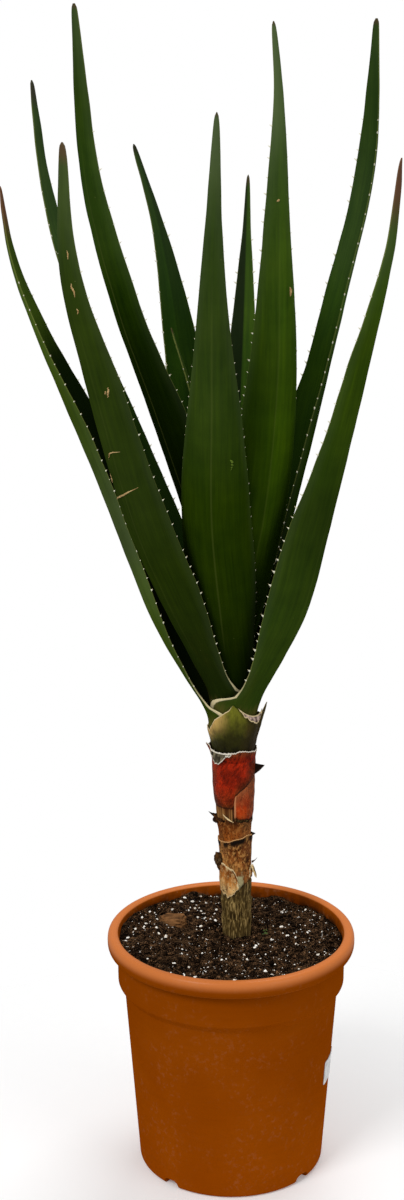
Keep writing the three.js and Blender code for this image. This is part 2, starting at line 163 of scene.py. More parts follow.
class Wire:
    """A shader socket that adds Math nodes where it is used in an expression."""

    def __init__(self, graph: "Graph", socket: bpy.types.NodeSocket) -> None:
        """Wraps an output socket of a graph's node."""
        self.graph = graph
        self.socket = socket

    def math(self, operation: str, *values: "Wire | float") -> "Wire":
        """Result of a Math node on these values, in order."""
        node = self.graph.node("ShaderNodeMath", {"operation": operation}, dict(enumerate(values)))
        return Wire(self.graph, node.outputs[0])

    def __add__(self, other: "Wire | float") -> "Wire":
        """Sum."""
        return self.math("ADD", self, other)

    def __radd__(self, other: float) -> "Wire":
        """Sum with a number first."""
        return self.math("ADD", other, self)

    def __sub__(self, other: "Wire | float") -> "Wire":
        """Difference."""
        return self.math("SUBTRACT", self, other)

    def __rsub__(self, other: float) -> "Wire":
        """Difference from a number."""
        return self.math("SUBTRACT", other, self)

    def __mul__(self, other: "Wire | float") -> "Wire":
        """Product."""
        return self.math("MULTIPLY", self, other)

    def __rmul__(self, other: float) -> "Wire":
        """Product with a number first."""
        return self.math("MULTIPLY", other, self)

    def __truediv__(self, other: "Wire | float") -> "Wire":
        """Quotient."""
        return self.math("DIVIDE", self, other)

    def __rtruediv__(self, other: float) -> "Wire":
        """Quotient of a number."""
        return self.math("DIVIDE", other, self)

    def __pow__(self, power: "Wire | float") -> "Wire":
        """Power."""
        return self.math("POWER", self, power)

    def abs(self) -> "Wire":
        """Size without sign."""
        return self.math("ABSOLUTE", self)

    def rise(self, low: "Wire | float", high: "Wire | float") -> "Wire":
        """Smooth rise from 0 where the wire is low to 1 where it is high."""
        smooth = {"interpolation_type": "SMOOTHSTEP"}
        return self.graph.wire(self.graph.node("ShaderNodeMapRange", smooth, {0: self, 1: low, 2: high}))

    def fall(self, low: "Wire | float", high: "Wire | float") -> "Wire":
        """Smooth fall from 1 where the wire is low to 0 where it is high."""
        return 1.0 - self.rise(low, high)


class Graph:
    """The node tree of one material."""

    def __init__(self, name: str) -> None:
        """Makes an empty material.

        Args:
            name: The material's name.
        """
        self.material = bpy.data.materials.new(name)
        self.material.use_nodes = True
        self.tree = self.material.node_tree
        self.tree.nodes.clear()

    def node(
        self,
        kind: str,
        settings: Mapping[str, Any] | None = None,
        inputs: Mapping[int | str, Any] | None = None,
    ) -> bpy.types.Node:
        """Adds any node.

        Args:
            kind: The node's type.
            settings: Its own settings, set first. "stops" gives a ramp's positions and colours.
            inputs: A value or a wire for each socket, by name or number.

        Returns:
            The node.
        """
        node = self.tree.nodes.new(kind)
        for name, value in (settings or {}).items():
            if name == "stops":
                self._set_stops(node.color_ramp, value)
            else:
                setattr(node, name, value)
        for name, value in (inputs or {}).items():
            if isinstance(value, Wire):
                self.tree.links.new(value.socket, node.inputs[name])
            else:
                node.inputs[name].default_value = value
        return node

    @staticmethod
    def _set_stops(ramp: bpy.types.ColorRamp, stops: Sequence[tuple[float, Color]]) -> None:
        """Gives a ramp its stops, in rising order.

        Args:
            ramp: The ramp.
            stops: Their positions and colours.
        """
        while len(ramp.elements) < len(stops):
            ramp.elements.new(1.0)
        for element, (position, color) in zip(ramp.elements, stops):
            element.position = position
            element.color = color

    def wire(self, node: bpy.types.Node, output: int | str = 0) -> Wire:
        """A node's output."""
        return Wire(self, node.outputs[output])

    def value(self, name: str) -> Wire:
        """A named value of the mesh's points."""
        return self.wire(self.node("ShaderNodeAttribute", {"attribute_name": name}), "Fac")

    def place(self) -> Wire:
        """Place in the part's frame, in metres."""
        return self.wire(self.node("ShaderNodeTexCoord"), "Object")

    def axes(self, vector: Wire) -> tuple[Wire, Wire, Wire]:
        """X, Y and Z of a vector."""
        node = self.node("ShaderNodeSeparateXYZ", inputs={0: vector})
        return self.wire(node, 0), self.wire(node, 1), self.wire(node, 2)

    def vector(self, x: Wire | float, y: Wire | float, z: Wire | float = 0.0) -> Wire:
        """A vector of three values."""
        return self.wire(self.node("ShaderNodeCombineXYZ", inputs={0: x, 1: y, 2: z}))

    def stretched(self, vector: Wire, factors: tuple[float, float, float]) -> Wire:
        """A vector times a factor on each axis."""
        node = self.node("ShaderNodeVectorMath", {"operation": "MULTIPLY"}, {0: vector, 1: factors})
        return self.wire(node)

    def noise(self, vector: Wire, scale: float, detail: float = 3.0, rough: float = 0.55) -> Wire:
        """Noise of about 0.3 to 0.7, whose features measure about 1 / scale."""
        inputs = {"Vector": vector, "Scale": scale, "Detail": detail, "Roughness": rough}
        return self.wire(self.node("ShaderNodeTexNoise", inputs=inputs), 0)

    def cells(self, vector: Wire, scale: float) -> Wire:
        """Distance to the nearest point of a scatter of cells."""
        node = self.node("ShaderNodeTexVoronoi", inputs={"Vector": vector, "Scale": scale})
        return self.wire(node, "Distance")

    def ramp(self, factor: Wire, stops: Sequence[tuple[float, Color]]) -> Wire:
        """Colour at a factor between stops."""
        node = self.node("ShaderNodeValToRGB", {"stops": stops}, {0: factor})
        return self.wire(node, "Color")

    def mix(self, factor: Wire | float, start: Wire | Color, end: Wire | Color) -> Wire:
        """Colour at a factor of the way from start to end."""
        return self.wire(self.node("ShaderNodeMix", {"data_type": "RGBA"}, {0: factor, 6: start, 7: end}), 2)

    def shade(self, color: Wire | Color, factor: Wire) -> Wire:
        """A colour made lighter or darker by a factor round 1.

        Args:
            color: The colour.
            factor: The factor.

        Returns:
            The new colour.
        """
        node = self.node("ShaderNodeVectorMath", {"operation": "SCALE"}, {"Scale": factor})
        if isinstance(color, Wire):
            self.tree.links.new(color.socket, node.inputs[0])
        else:
            node.inputs[0].default_value = color[:3]
        return self.wire(node)

    def bump(self, height: Wire, depth: float, strength: float = 1.0) -> Wire:
        """Normal of a surface whose height varies by depth metres."""
        inputs = {"Strength": strength, "Distance": depth, "Height": height}
        return self.wire(self.node("ShaderNodeBump", inputs=inputs))

    def surface(self, **sockets: Any) -> bpy.types.Material:
        """Ends the material with a Principled shader.

        Args:
            **sockets: Its inputs, with _ for a space.

        Returns:
            The material.
        """
        inputs = {name.replace("_", " "): value for name, value in sockets.items()}
        shader = self.node("ShaderNodeBsdfPrincipled", inputs=inputs)
        self.node("ShaderNodeOutputMaterial", inputs={"Surface": self.wire(shader)})
        return self.material


class MeshDraft:
    """Points, faces and named point values of a mesh that is being put together."""

    def __init__(self) -> None:
        """Starts empty."""
        self.points: list[Vector] = []
        self.faces: list[tuple[int, ...]] = []
        self.values: dict[str, dict[int, float]] = {}

    def add(
        self,
        points: Sequence[Vector],
        faces: Iterable[Sequence[int]],
        values: Mapping[str, Sequence[float] | float] | None = None,
    ) -> None:
        """Adds a shape.

        Args:
            points: Its points.
            faces: Its faces, as numbers of its own points.
            values: Named values, one for each point or one for all.
        """
        start = len(self.points)
        self.points.extend(points)
        self.faces.extend(tuple(start + i for i in face) for face in faces)
        for name, given in (values or {}).items():
            many = given if isinstance(given, Sequence) else [given] * len(points)
            self.values.setdefault(name, {}).update(zip(range(start, len(self.points)), many))

    def loft(
        self,
        rings: Rows,
        values: Mapping[str, Sequence[Sequence[float]] | float] | None = None,
        capped: bool = True,
    ) -> None:
        """Adds a skin over closed rings of equally many points.

        Args:
            rings: The rings, each running anticlockwise seen from the last one.
            values: Named values, as rows like the rings' or one for all.
            capped: Whether strips across the first and last ring close the ends.
        """
        count = len(rings[0])
        faces: list[tuple[int, ...]] = []
        for i in range(len(rings) - 1):
            low, high = i * count, (i + 1) * count
            for j in range(count):
                after = (j + 1) % count
                faces.append((low + j, low + after, high + after, high + j))
        top = (len(rings) - 1) * count
        if capped:
            for j in range(count // 2 - 1):
                faces.append((count - 1 - j, count - 2 - j, j + 1, j))
                faces.append((top + j, top + j + 1, top + count - 2 - j, top + count - 1 - j))
        flat = {
            name: [v for row in rows for v in row] if isinstance(rows, Sequence) else rows
            for name, rows in (values or {}).items()
        }
        self.add([p for ring in rings for p in ring], faces, flat)

    def build(
        self,
        name: str,
        materials: Sequence[bpy.types.Material],
        crease: float | None = None,
    ) -> bpy.types.Object:
        """Makes the mesh object, smooth shaded.

        Args:
            name: The object's name.
            materials: Its materials.
            crease: Angle in radians above which an edge stays sharp, or None for none.

        Returns:
            The object.
        """
        mesh = bpy.data.meshes.new(name)
        mesh.from_pydata(self.points, [], self.faces)
        shape = bmesh.new()
        shape.from_mesh(mesh)
        bmesh.ops.recalc_face_normals(shape, faces=shape.faces)
        shape.to_mesh(mesh)
        shape.free()
        for key, given in self.values.items():
            layer = mesh.attributes.new(key, "FLOAT", "POINT")
            layer.data.foreach_set("value", [given.get(i, 0.0) for i in range(len(self.points))])
        mesh.shade_smooth()
        if crease is not None:
            mesh.set_sharp_from_angle(angle=crease)
        for material in materials:
            mesh.materials.append(material)
        piece = bpy.data.objects.new(name, mesh)
        bpy.context.scene.collection.objects.link(piece)
        return piece


def mount(piece: bpy.types.Object, slot: str, *nodes: str) -> bpy.types.Object:
    """Makes a piece part of the object and reports it.

    Args:
        piece: The piece, already in place.
        slot: Name of the record's material slot. Not used.
        *nodes: The solids that it stands for.

    Returns:
        The piece.
    """
    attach(piece, BODY)
    if nodes:
        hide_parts(*nodes)
    triangles = sum(len(face.vertices) - 2 for face in piece.data.polygons)
    LOG.info("%s: %d triangles", piece.name, triangles)
    return piece


def carve(piece: bpy.types.Object, cutters: Sequence[bpy.types.Object]) -> None:
    """Cuts the cutters' shapes out of a piece and removes them.

    Args:
        piece: The piece.
        cutters: The shapes to cut out.
    """
    for cutter in cutters:
        modifier = piece.modifiers.new("cut", "BOOLEAN")
        modifier.operation = "DIFFERENCE"
        modifier.object = cutter
    view = bpy.context.evaluated_depsgraph_get()
    carved = bpy.data.meshes.new_from_object(piece.evaluated_get(view))
    piece.modifiers.clear()
    piece.data = carved
    for cutter in cutters:
        bpy.data.objects.remove(cutter)


def around(radius: float, degrees: float, height: float, centre: Vector | None = None) -> Vector:
    """Point at a radius, an angle and a height about an upright axis.

    Args:
        radius: The radius.
        degrees: The angle.
        height: The height.
        centre: A point on the axis, or None for the origin.

    Returns:
        The point.
    """
    x, y = (centre.x, centre.y) if centre else (0.0, 0.0)
    a = math.radians(degrees)
    return Vector((x + radius * math.cos(a), y + radius * math.sin(a), height))


@functools.lru_cache
def ball(subdivisions: int) -> Shape:
    """Points and faces of a round ball of radius 1.

    Args:
        subdivisions: How fine it is.

    Returns:
        Its points and faces.
    """
    shape = bmesh.new()
    bmesh.ops.create_icosphere(shape, subdivisions=subdivisions, radius=1.0)
    points = [vertex.co.copy() for vertex in shape.verts]
    faces = [[v.index for v in face.verts] for face in shape.faces]
    shape.free()
    return points, faces


def lump(
    centre: Vector, axes: tuple[Vector, Vector, Vector], seed: int, subdivisions: int = 1, rough: float = 0.42
) -> Shape:
    """An irregular lump.

    Args:
        centre: Its centre.
        axes: Its half axes.
        seed: Chooses its shape.
        subdivisions: How fine it is.
        rough: How far it departs from an egg.

    Returns:
        Its points and faces.
    """
    round_points, faces = ball(subdivisions)
    offset = Vector((seed * 1.7 % 50, seed * 3.1 % 50, 0))
    points = []
    for p in round_points:
        grow = 1.0 + rough * noise.noise(p * 1.3 + offset) + 0.4 * rough * noise.noise(p * 4.1 + offset)
        points.append(centre + (axes[0] * p.x + axes[1] * p.y + axes[2] * p.z) * grow)
    return points, faces


def crumb(centre: Vector, sizes: Vector, seed: int, rough: float = 0.42) -> Shape:
    """A small lump of these half lengths, turned at random.

    Args:
        centre: Its centre.
        sizes: Its half lengths.
        seed: Chooses its shape.
        rough: How far it departs from an egg.

    Returns:
        Its points and faces.
    """
    draw = random.Random(seed)
    turn = Matrix.Rotation(draw.uniform(0, 6.28), 3, "Z") @ Matrix.Rotation(draw.uniform(-0.6, 0.6), 3, "X")
    axes = tuple(turn.col[i] * sizes[i] for i in range(3))
    return lump(centre, axes, seed, 1, rough)


def tube(path: Sequence[Vector], radii: Sequence[float], sides: int = 4) -> list[list[Vector]]:
    """Rings of a thin tube along a path.

    Args:
        path: Its middle line.
        radii: Its radius at each point.
        sides: Its number of sides.

    Returns:
        The rings.
    """
    rings = []
    for i, point in enumerate(path):
        run = (path[min(i + 1, len(path) - 1)] - path[max(i - 1, 0)]).normalized()
        side = run.cross(Vector((0.3, 0.2, 1.0))).normalized()
        up = side.cross(run)
        turns = [2 * math.pi * k / sides for k in range(sides)]
        rings.append([point + radii[i] * (side * math.cos(t) + up * math.sin(t)) for t in turns])
    return rings


@dataclass(frozen=True)
class PotPlastic:
    """Satin terracotta-coloured plastic, a little dusty, stained by peat inside, with a painted highlight on
    the rim.
    """

    body: Color = srgb(141, 64, 1)
    worn: Color = srgb(147, 69, 3)
    # rim is the colour of a painted highlight on the rim's top and under its lip.
    rim: Color = srgb(224, 130, 66)
    haze: Color = srgb(206, 160, 124)
    peat: Color = srgb(52, 30, 16)

    def material(self) -> bpy.types.Material:
        """Builds the material.

        Returns:
            The material.
        """
        g = Graph("pot_plastic")
        place = g.place()
        x, y, z = g.axes(place)
        radius = (x * x + y * y) ** 0.5
        cloud = g.noise(place, 12.0, 4.0)
        drag = g.noise(g.stretched(place, (1.0, 1.0, 12.0)), 20.0, 5.0)
        color = g.mix(cloud.rise(0.35, 0.7), self.body, self.worn)
        color = g.shade(color, 0.94 + 0.12 * drag)
        # top and edge mask the rim's top and the underside of its lip, where the rim colour is mixed in as a
        # painted highlight.
        top = z.rise(0.2285, 0.2375) * radius.rise(0.1096, 0.1104)
        edge = z.fall(0.2232, 0.2246) * radius.rise(0.1162, 0.1172) * z.rise(0.22, 0.2215)
        color = g.mix(top * 0.85 + edge * 0.6, color, self.rim)
        inside = radius.fall(0.1094, 0.1099) * z.rise(0.2, 0.21)
        stain = g.noise(g.stretched(place, (1.0, 1.0, 0.6)), 85.0, 5.0)
        low = z.fall(0.2265, 0.2345)
        color = g.mix(inside * (0.3 + 0.65 * low) * stain.rise(0.36, 0.6), color, self.peat)
        dust = g.noise(place, 180.0, 5.0, 0.7).rise(0.5, 0.7) * g.noise(place, 26.0).rise(0.42, 0.6)
        color = g.mix(dust * (0.07 + 0.1 * inside), color, self.haze)
        grit = g.noise(place, 1100.0, 2.0)
        rough = 0.36 + 0.16 * cloud + 0.2 * dust
        normal = g.bump(0.8 * grit + 0.4 * drag, 0.00008, 0.4)
        gloss = 0.9 * top
        return g.surface(
            Base_Color=color, Roughness=rough, Normal=normal, Specular_IOR_Level=0.0, Coat_Weight=gloss * 0.6,
            Coat_Roughness=0.3, Coat_IOR=1.3,
        )


@dataclass(frozen=True)
class Peat:
    """Loose dark peat with lighter fibre."""

    dark: Color = srgb(13, 8, 5)
    mid: Color = srgb(33, 21, 13)
    light: Color = srgb(164, 122, 84)

    def material(self) -> bpy.types.Material:
        """Builds the material.

        Returns:
            The material.
        """
        g = Graph("peat")
        place = g.place()
        fine = g.noise(place, 820.0, 5.0, 0.8)
        clump = g.noise(place, 150.0, 3.0)
        stops = [(0.42, self.dark), (0.515, self.mid), (0.61, self.light)]
        color = g.ramp(0.75 * fine + 0.25 * clump, stops)
        # crest lightens crumb tops and darkens the hollows between them, the edge at the wall and the hole
        # round the stem as painted shade. On loose clods it is a random tone.
        height = g.value("crest")
        color = g.shade(color, 0.3 + height)
        normal = g.bump(fine, 0.0016, 1.0)
        return g.surface(Base_Color=color, Roughness=0.92, Normal=normal, Specular_IOR_Level=0.03)


@dataclass(frozen=True)
class Grit:
    """A plain mineral or plant crumb with a mottled colour, and a painted glow where glow is above 0."""

    name: str
    light: Color
    dark: Color
    scale: float = 700.0
    roughness: float = 0.85
    grain: tuple[float, float, float] = (1.0, 1.0, 1.0)
    glow: float = 0.0

    def material(self) -> bpy.types.Material:
        """Builds the material.

        Returns:
            The material.
        """
        g = Graph(self.name)
        place = g.stretched(g.place(), self.grain)
        mottle = g.noise(place, self.scale, 4.0, 0.65)
        broad = g.noise(place, self.scale * 0.16, 2.0)
        color = g.ramp(0.6 * mottle + 0.4 * broad, [(0.36, self.dark), (0.62, self.light)])
        normal = g.bump(mottle, 0.0006, 0.8)
        # glow sets an emission, a painted glow that keeps the grains bright.
        return g.surface(
            Base_Color=color, Roughness=self.roughness, Normal=normal, Specular_IOR_Level=0.1,
            Emission_Color=color, Emission_Strength=self.glow,
        )


@dataclass(frozen=True)
class StickerPaper:
    """White coated paper, left bare."""

    white: Color = srgb(224, 225, 224)
    grey: Color = srgb(196, 198, 198)

    def material(self) -> bpy.types.Material:
        """Builds the material.

        Returns:
            The material.
        """
        g = Graph("label_paper")
        place = g.place()
        crease = g.noise(place, 120.0, 3.0)
        color = g.mix(crease.rise(0.45, 0.7), self.white, self.grey)
        return g.surface(Base_Color=color, Roughness=0.5, Normal=g.bump(crease, 0.0003, 0.4))


@dataclass(frozen=True)
class StemBark:
    """Dry olive-grey skin with lengthwise fibres."""

    dark: Color = srgb(28, 19, 8)
    mid: Color = srgb(96, 76, 38)
    light: Color = srgb(196, 166, 104)

    def material(self) -> bpy.types.Material:
        """Builds the material.

        Returns:
            The material.
        """
        g = Graph("stem_bark")
        place = g.place()
        fibre = g.noise(g.stretched(place, (1.0, 1.0, 0.07)), 900.0, 5.0, 0.65)
        broad = g.noise(g.stretched(place, (1.0, 1.0, 0.35)), 150.0, 3.0)
        color = g.ramp(0.76 * fibre + 0.24 * broad, [(0.38, self.dark), (0.5, self.mid), (0.62, self.light)])
        knots = g.cells(g.stretched(place, (1.0, 1.0, 0.6)), 430.0).fall(0.1, 0.3)
        color = g.mix(knots * g.noise(place, 110.0).rise(0.46, 0.6) * 0.75, color, self.dark)
        rotted = g.noise(place, 220.0, 3.0).rise(0.42, 0.56)
        _, _, z = g.axes(place)
        color = g.mix(z.fall(0.226, 0.242) * 0.6, color, srgb(44, 32, 22))
        color = g.mix(z.rise(0.268, 0.279) * rotted * 0.5, color, srgb(26, 17, 9))
        normal = g.bump(0.8 * fibre + 0.5 * broad, 0.0011, 0.9)
        return g.surface(Base_Color=color, Roughness=0.82, Normal=normal, Specular_IOR_Level=0.05)


class Texture(enum.Enum):
    """How the skin of a dried sheath is worked."""

    FIBRED = "fibred"
    PEBBLED = "pebbled"


@dataclass(frozen=True)
class Tint:
    """A colour that takes over from the x where it starts to the x where it is full."""

    color: Color
    start: float
    full: float
    share: float = 1.0
    foot: float = 0.0


@dataclass(frozen=True)
class DrySkin:
    """The dried base of a cut leaf: colours from its lower to its upper edge, streaks, pores, torn edges."""

    name: str
    low: Color
    mid: Color
    high: Color
    streak: Color
    edge: Color
    tints: tuple[Tint, ...] = ()
    paper: Color = srgb(206, 194, 166)
    texture: Texture = Texture.FIBRED
    streaks: float = 0.8
    patchy: float = 0.4
    lean: float = 0.0
    pale: float = 0.0
    pores: float = 0.0
    roughness: float = 0.7

    def material(self) -> bpy.types.Material:
        """Builds the material.

        Returns:
            The material.
        """
        g = Graph(self.name)
        place = g.place()
        x, y, z = g.axes(place)
        fibre = g.noise(g.stretched(place, (1.0, 1.0, 0.09)), 800.0, 5.0, 0.65)
        broad = g.noise(g.stretched(place, (1.0, 1.0, 0.5)), 130.0, 3.0)
        up = g.value("up") + 0.5 * (broad - 0.5) + 0.2 * (fibre - 0.5)
        color = g.ramp(up, [(0.05, self.low), (0.45, self.mid), (0.85, self.high)])
        # A darker tint on the right side is painted shade, the side away from the key light.
        for tint in self.tints:
            lean = (x + 0.016 * (broad - 0.5)).rise(tint.start, tint.full)
            risen = g.value("up").rise(tint.foot - 0.3, tint.foot + 0.3)
            color = g.mix(lean * risen * tint.share, color, tint.color)
        patches = g.noise(g.stretched(place, (1.0, 1.0, 0.8)), 85.0, 2.0)
        color = g.mix(patches.rise(0.45, 0.62) * self.patchy, color, self.streak)
        height = 0.8 * fibre + 0.4 * broad
        depth = 0.0009
        if self.texture is Texture.PEBBLED:
            run = g.vector(x - self.lean * z, y, 0.22 * z)
            pebble = g.cells(run, 1150.0)
            vein = g.noise(run, 520.0, 4.0, 0.6)
            color = g.mix(vein.rise(0.49, 0.61) * self.streaks, color, self.streak)
            color = g.mix(pebble.rise(0.4, 0.85) * (0.4 * self.streaks), color, self.streak)
            color = g.shade(color, 0.5 + g.noise(place, 300.0, 3.0))
            height = height - 0.7 * pebble - 0.8 * vein
            depth = 0.0012
        else:
            color = g.mix(fibre.rise(0.5, 0.66) * self.streaks, color, self.streak)
        color = g.shade(color, 0.5 + broad)
        if self.pale:
            blotch = g.noise(g.stretched(place, (1.0, 1.0, 0.7)), 310.0, 5.0, 0.7)
            color = g.mix(blotch.rise(0.48, 0.62) * self.pale, color, self.paper)
            height = height + 0.6 * blotch
        if self.pores:
            hole = g.cells(place, 460.0).fall(0.16, 0.3) * g.noise(place, 110.0).rise(0.44, 0.54)
            color = g.mix(hole * self.pores, color, srgb(26, 14, 6))
            height = height - 0.8 * hole
        paper = g.shade(self.paper, 0.5 + fibre)
        color = g.mix(g.value("paper"), color, paper)
        torn = g.value("rim") * (0.5 + broad)
        color = g.mix(torn.rise(0.3, 0.75), color, g.shade(self.edge, 0.7 + 0.6 * fibre))
        # char darkens charred tissue, and also paints shade under the upper lips, in the flute grooves and in
        # the folds of scraps.
        color = g.mix(g.value("char") * (0.7 + 0.6 * broad), color, srgb(24, 16, 9))
        normal = g.bump(height, depth, 0.9)
        return g.surface(Base_Color=color, Roughness=self.roughness, Normal=normal, Specular_IOR_Level=0.06)


@dataclass(frozen=True)
class LeafSkin:
    """Waxy green skin with faint lengthwise stripes, a pale margin, horny teeth, a dry tip, and painted light
    and shade.
    """

    name: str
    cool: Color = srgb(24, 52, 8)
    warm: Color = srgb(57, 76, 2)
    olive: float = 0.4
    light: float = 1.0
    tip: float = 0.02
    midline_highlight: float = 0.25
    margin_light: float = 0.25
    blush: float = 0.12
    minus: float = 1.0
    plus: float = 1.0
    inner_light: float = 1.0
    # haze is the colour of the waxy bloom and the painted sheen.
    haze: Color = srgb(116, 130, 98)
    horn: Color = srgb(238, 236, 212)
    horn_tip: Color = srgb(216, 192, 146)
    margin: Color = srgb(140, 146, 76)
    cream: Color = srgb(238, 222, 176)
    base: Color = srgb(104, 96, 44)
    brown: Color = srgb(76, 62, 44)

    def material(self) -> bpy.types.Material:
        """Builds the material.

        Returns:
            The material.
        """
        g = Graph(self.name)
        across, length, share = g.value("across"), g.value("along"), g.value("share")
        margin, inner, tooth = g.value("margin"), g.value("inner"), g.value("tooth")
        flat = g.vector(across, length, 3.0 * inner)
        fine = g.noise(g.stretched(flat, (1.0, 0.018, 1.0)), 1500.0, 3.0)
        stripe = g.noise(g.stretched(flat, (1.0, 0.03, 1.0)), 330.0, 3.0)
        cloud = g.noise(g.stretched(flat, (1.0, 0.35, 1.0)), 34.0, 4.0)
        band = g.noise(g.stretched(flat, (0.2, 1.0, 1.0)), 60.0, 2.0)
        warmth = self.olive + 0.8 * (cloud - 0.5) + 0.3 * (stripe - 0.5)
        color = g.mix(warmth.rise(-0.2, 1.2), self.cool, self.warm)
        tone = 0.56 * stripe + 0.5 * fine + 0.6 * cloud + 0.3 * band
        # Painted shade: darker towards the leaf's base, deep in the rosette, and a little darker at the
        # margins.
        tone = tone * (0.66 + 0.46 * share.rise(0.0, 0.6)) * (1.04 + 0.06 * margin.rise(0.0, 0.02))
        # Painted light and shade: lit brightens or darkens the leaf along its length, and dim darkens the
        # inner face where inner_light is below 1.
        dim = inner * share.fall(0.68, 0.8) * (1.0 - self.inner_light)
        tone = tone * g.value("lit") * (1.0 - dim)
        # Painted shade: one half of the blade, by the sign of across, is darker than the other.
        if self.minus != self.plus:
            tone = tone * (self.minus + (self.plus - self.minus) * across.rise(-0.001, 0.001))
        # light scales the whole leaf's tone as painted light.
        color = g.shade(color, tone * self.light)
        # bloom mixes in the haze colour, partly waxy bloom and partly a painted sheen; the margins of the
        # outer face get a little painted sheen too.
        faded = g.value("bloom") * (0.4 + 1.2 * cloud) + 0.06 * margin.fall(0.0, 0.009) * (1.0 - inner)
        color = g.mix(faded * (1.0 - dim), color, self.haze)
        # A painted highlight along the middle of the outer face.
        line = across.abs().fall(0.0002, 0.0011) * share.rise(0.08, 0.2) * share.fall(0.55, 0.85)
        color = g.mix(line * (1.0 - inner) * self.midline_highlight, color, srgb(120, 128, 64))
        color = g.mix(inner * 0.3, color, srgb(20, 38, 16))
        speck = g.cells(g.stretched(flat, (1.0, 0.8, 1.0)), 150.0)
        dot = speck.fall(0.03, 0.07) * g.noise(flat, 38.0).rise(0.54, 0.66)
        color = g.mix(dot * 0.5, color, srgb(140, 144, 84))
        blush = share.fall(0.03, 0.2) * g.noise(g.stretched(flat, (1.0, 0.3, 1.0)), 30.0).rise(0.46, 0.66)
        color = g.mix(blush * self.blush, color, srgb(74, 50, 18))
        foot = (share + 0.05 * (stripe - 0.5)).fall(0.004, 0.034)
        color = g.mix(foot * 0.7, color, g.shade(self.base, 0.6 + 0.8 * stripe))
        width = 0.00035 + 0.006 * share.fall(0.0, 0.095) ** 2.0
        edge = (margin / width).fall(0.75, 1.15)
        near = share.fall(0.02, 0.14)
        rim = g.mix(near, self.margin, g.shade(self.cream, 0.7 + 0.6 * fine))
        color = g.mix(edge * (self.margin_light + (0.95 - self.margin_light) * near), color, rim)
        dry = (share + 0.4 * self.tip * (stripe - 0.5)).rise(1.0 - 1.5 * self.tip, 1.0 - 0.5 * self.tip)
        color = g.mix(dry * 0.8, color, self.brown)
        horn = g.mix(tooth.rise(0.7, 1.0), self.horn, self.horn_tip)
        color = g.mix(tooth.rise(0.12, 0.3), color, horn)
        rough = 0.36 + 0.2 * cloud + 0.14 * edge
        normal = g.bump(0.6 * stripe + 0.35 * fine + 0.25 * band, 0.0004, 0.5)
        return g.surface(Base_Color=color, Roughness=rough, Normal=normal, Specular_IOR_Level=0.0)


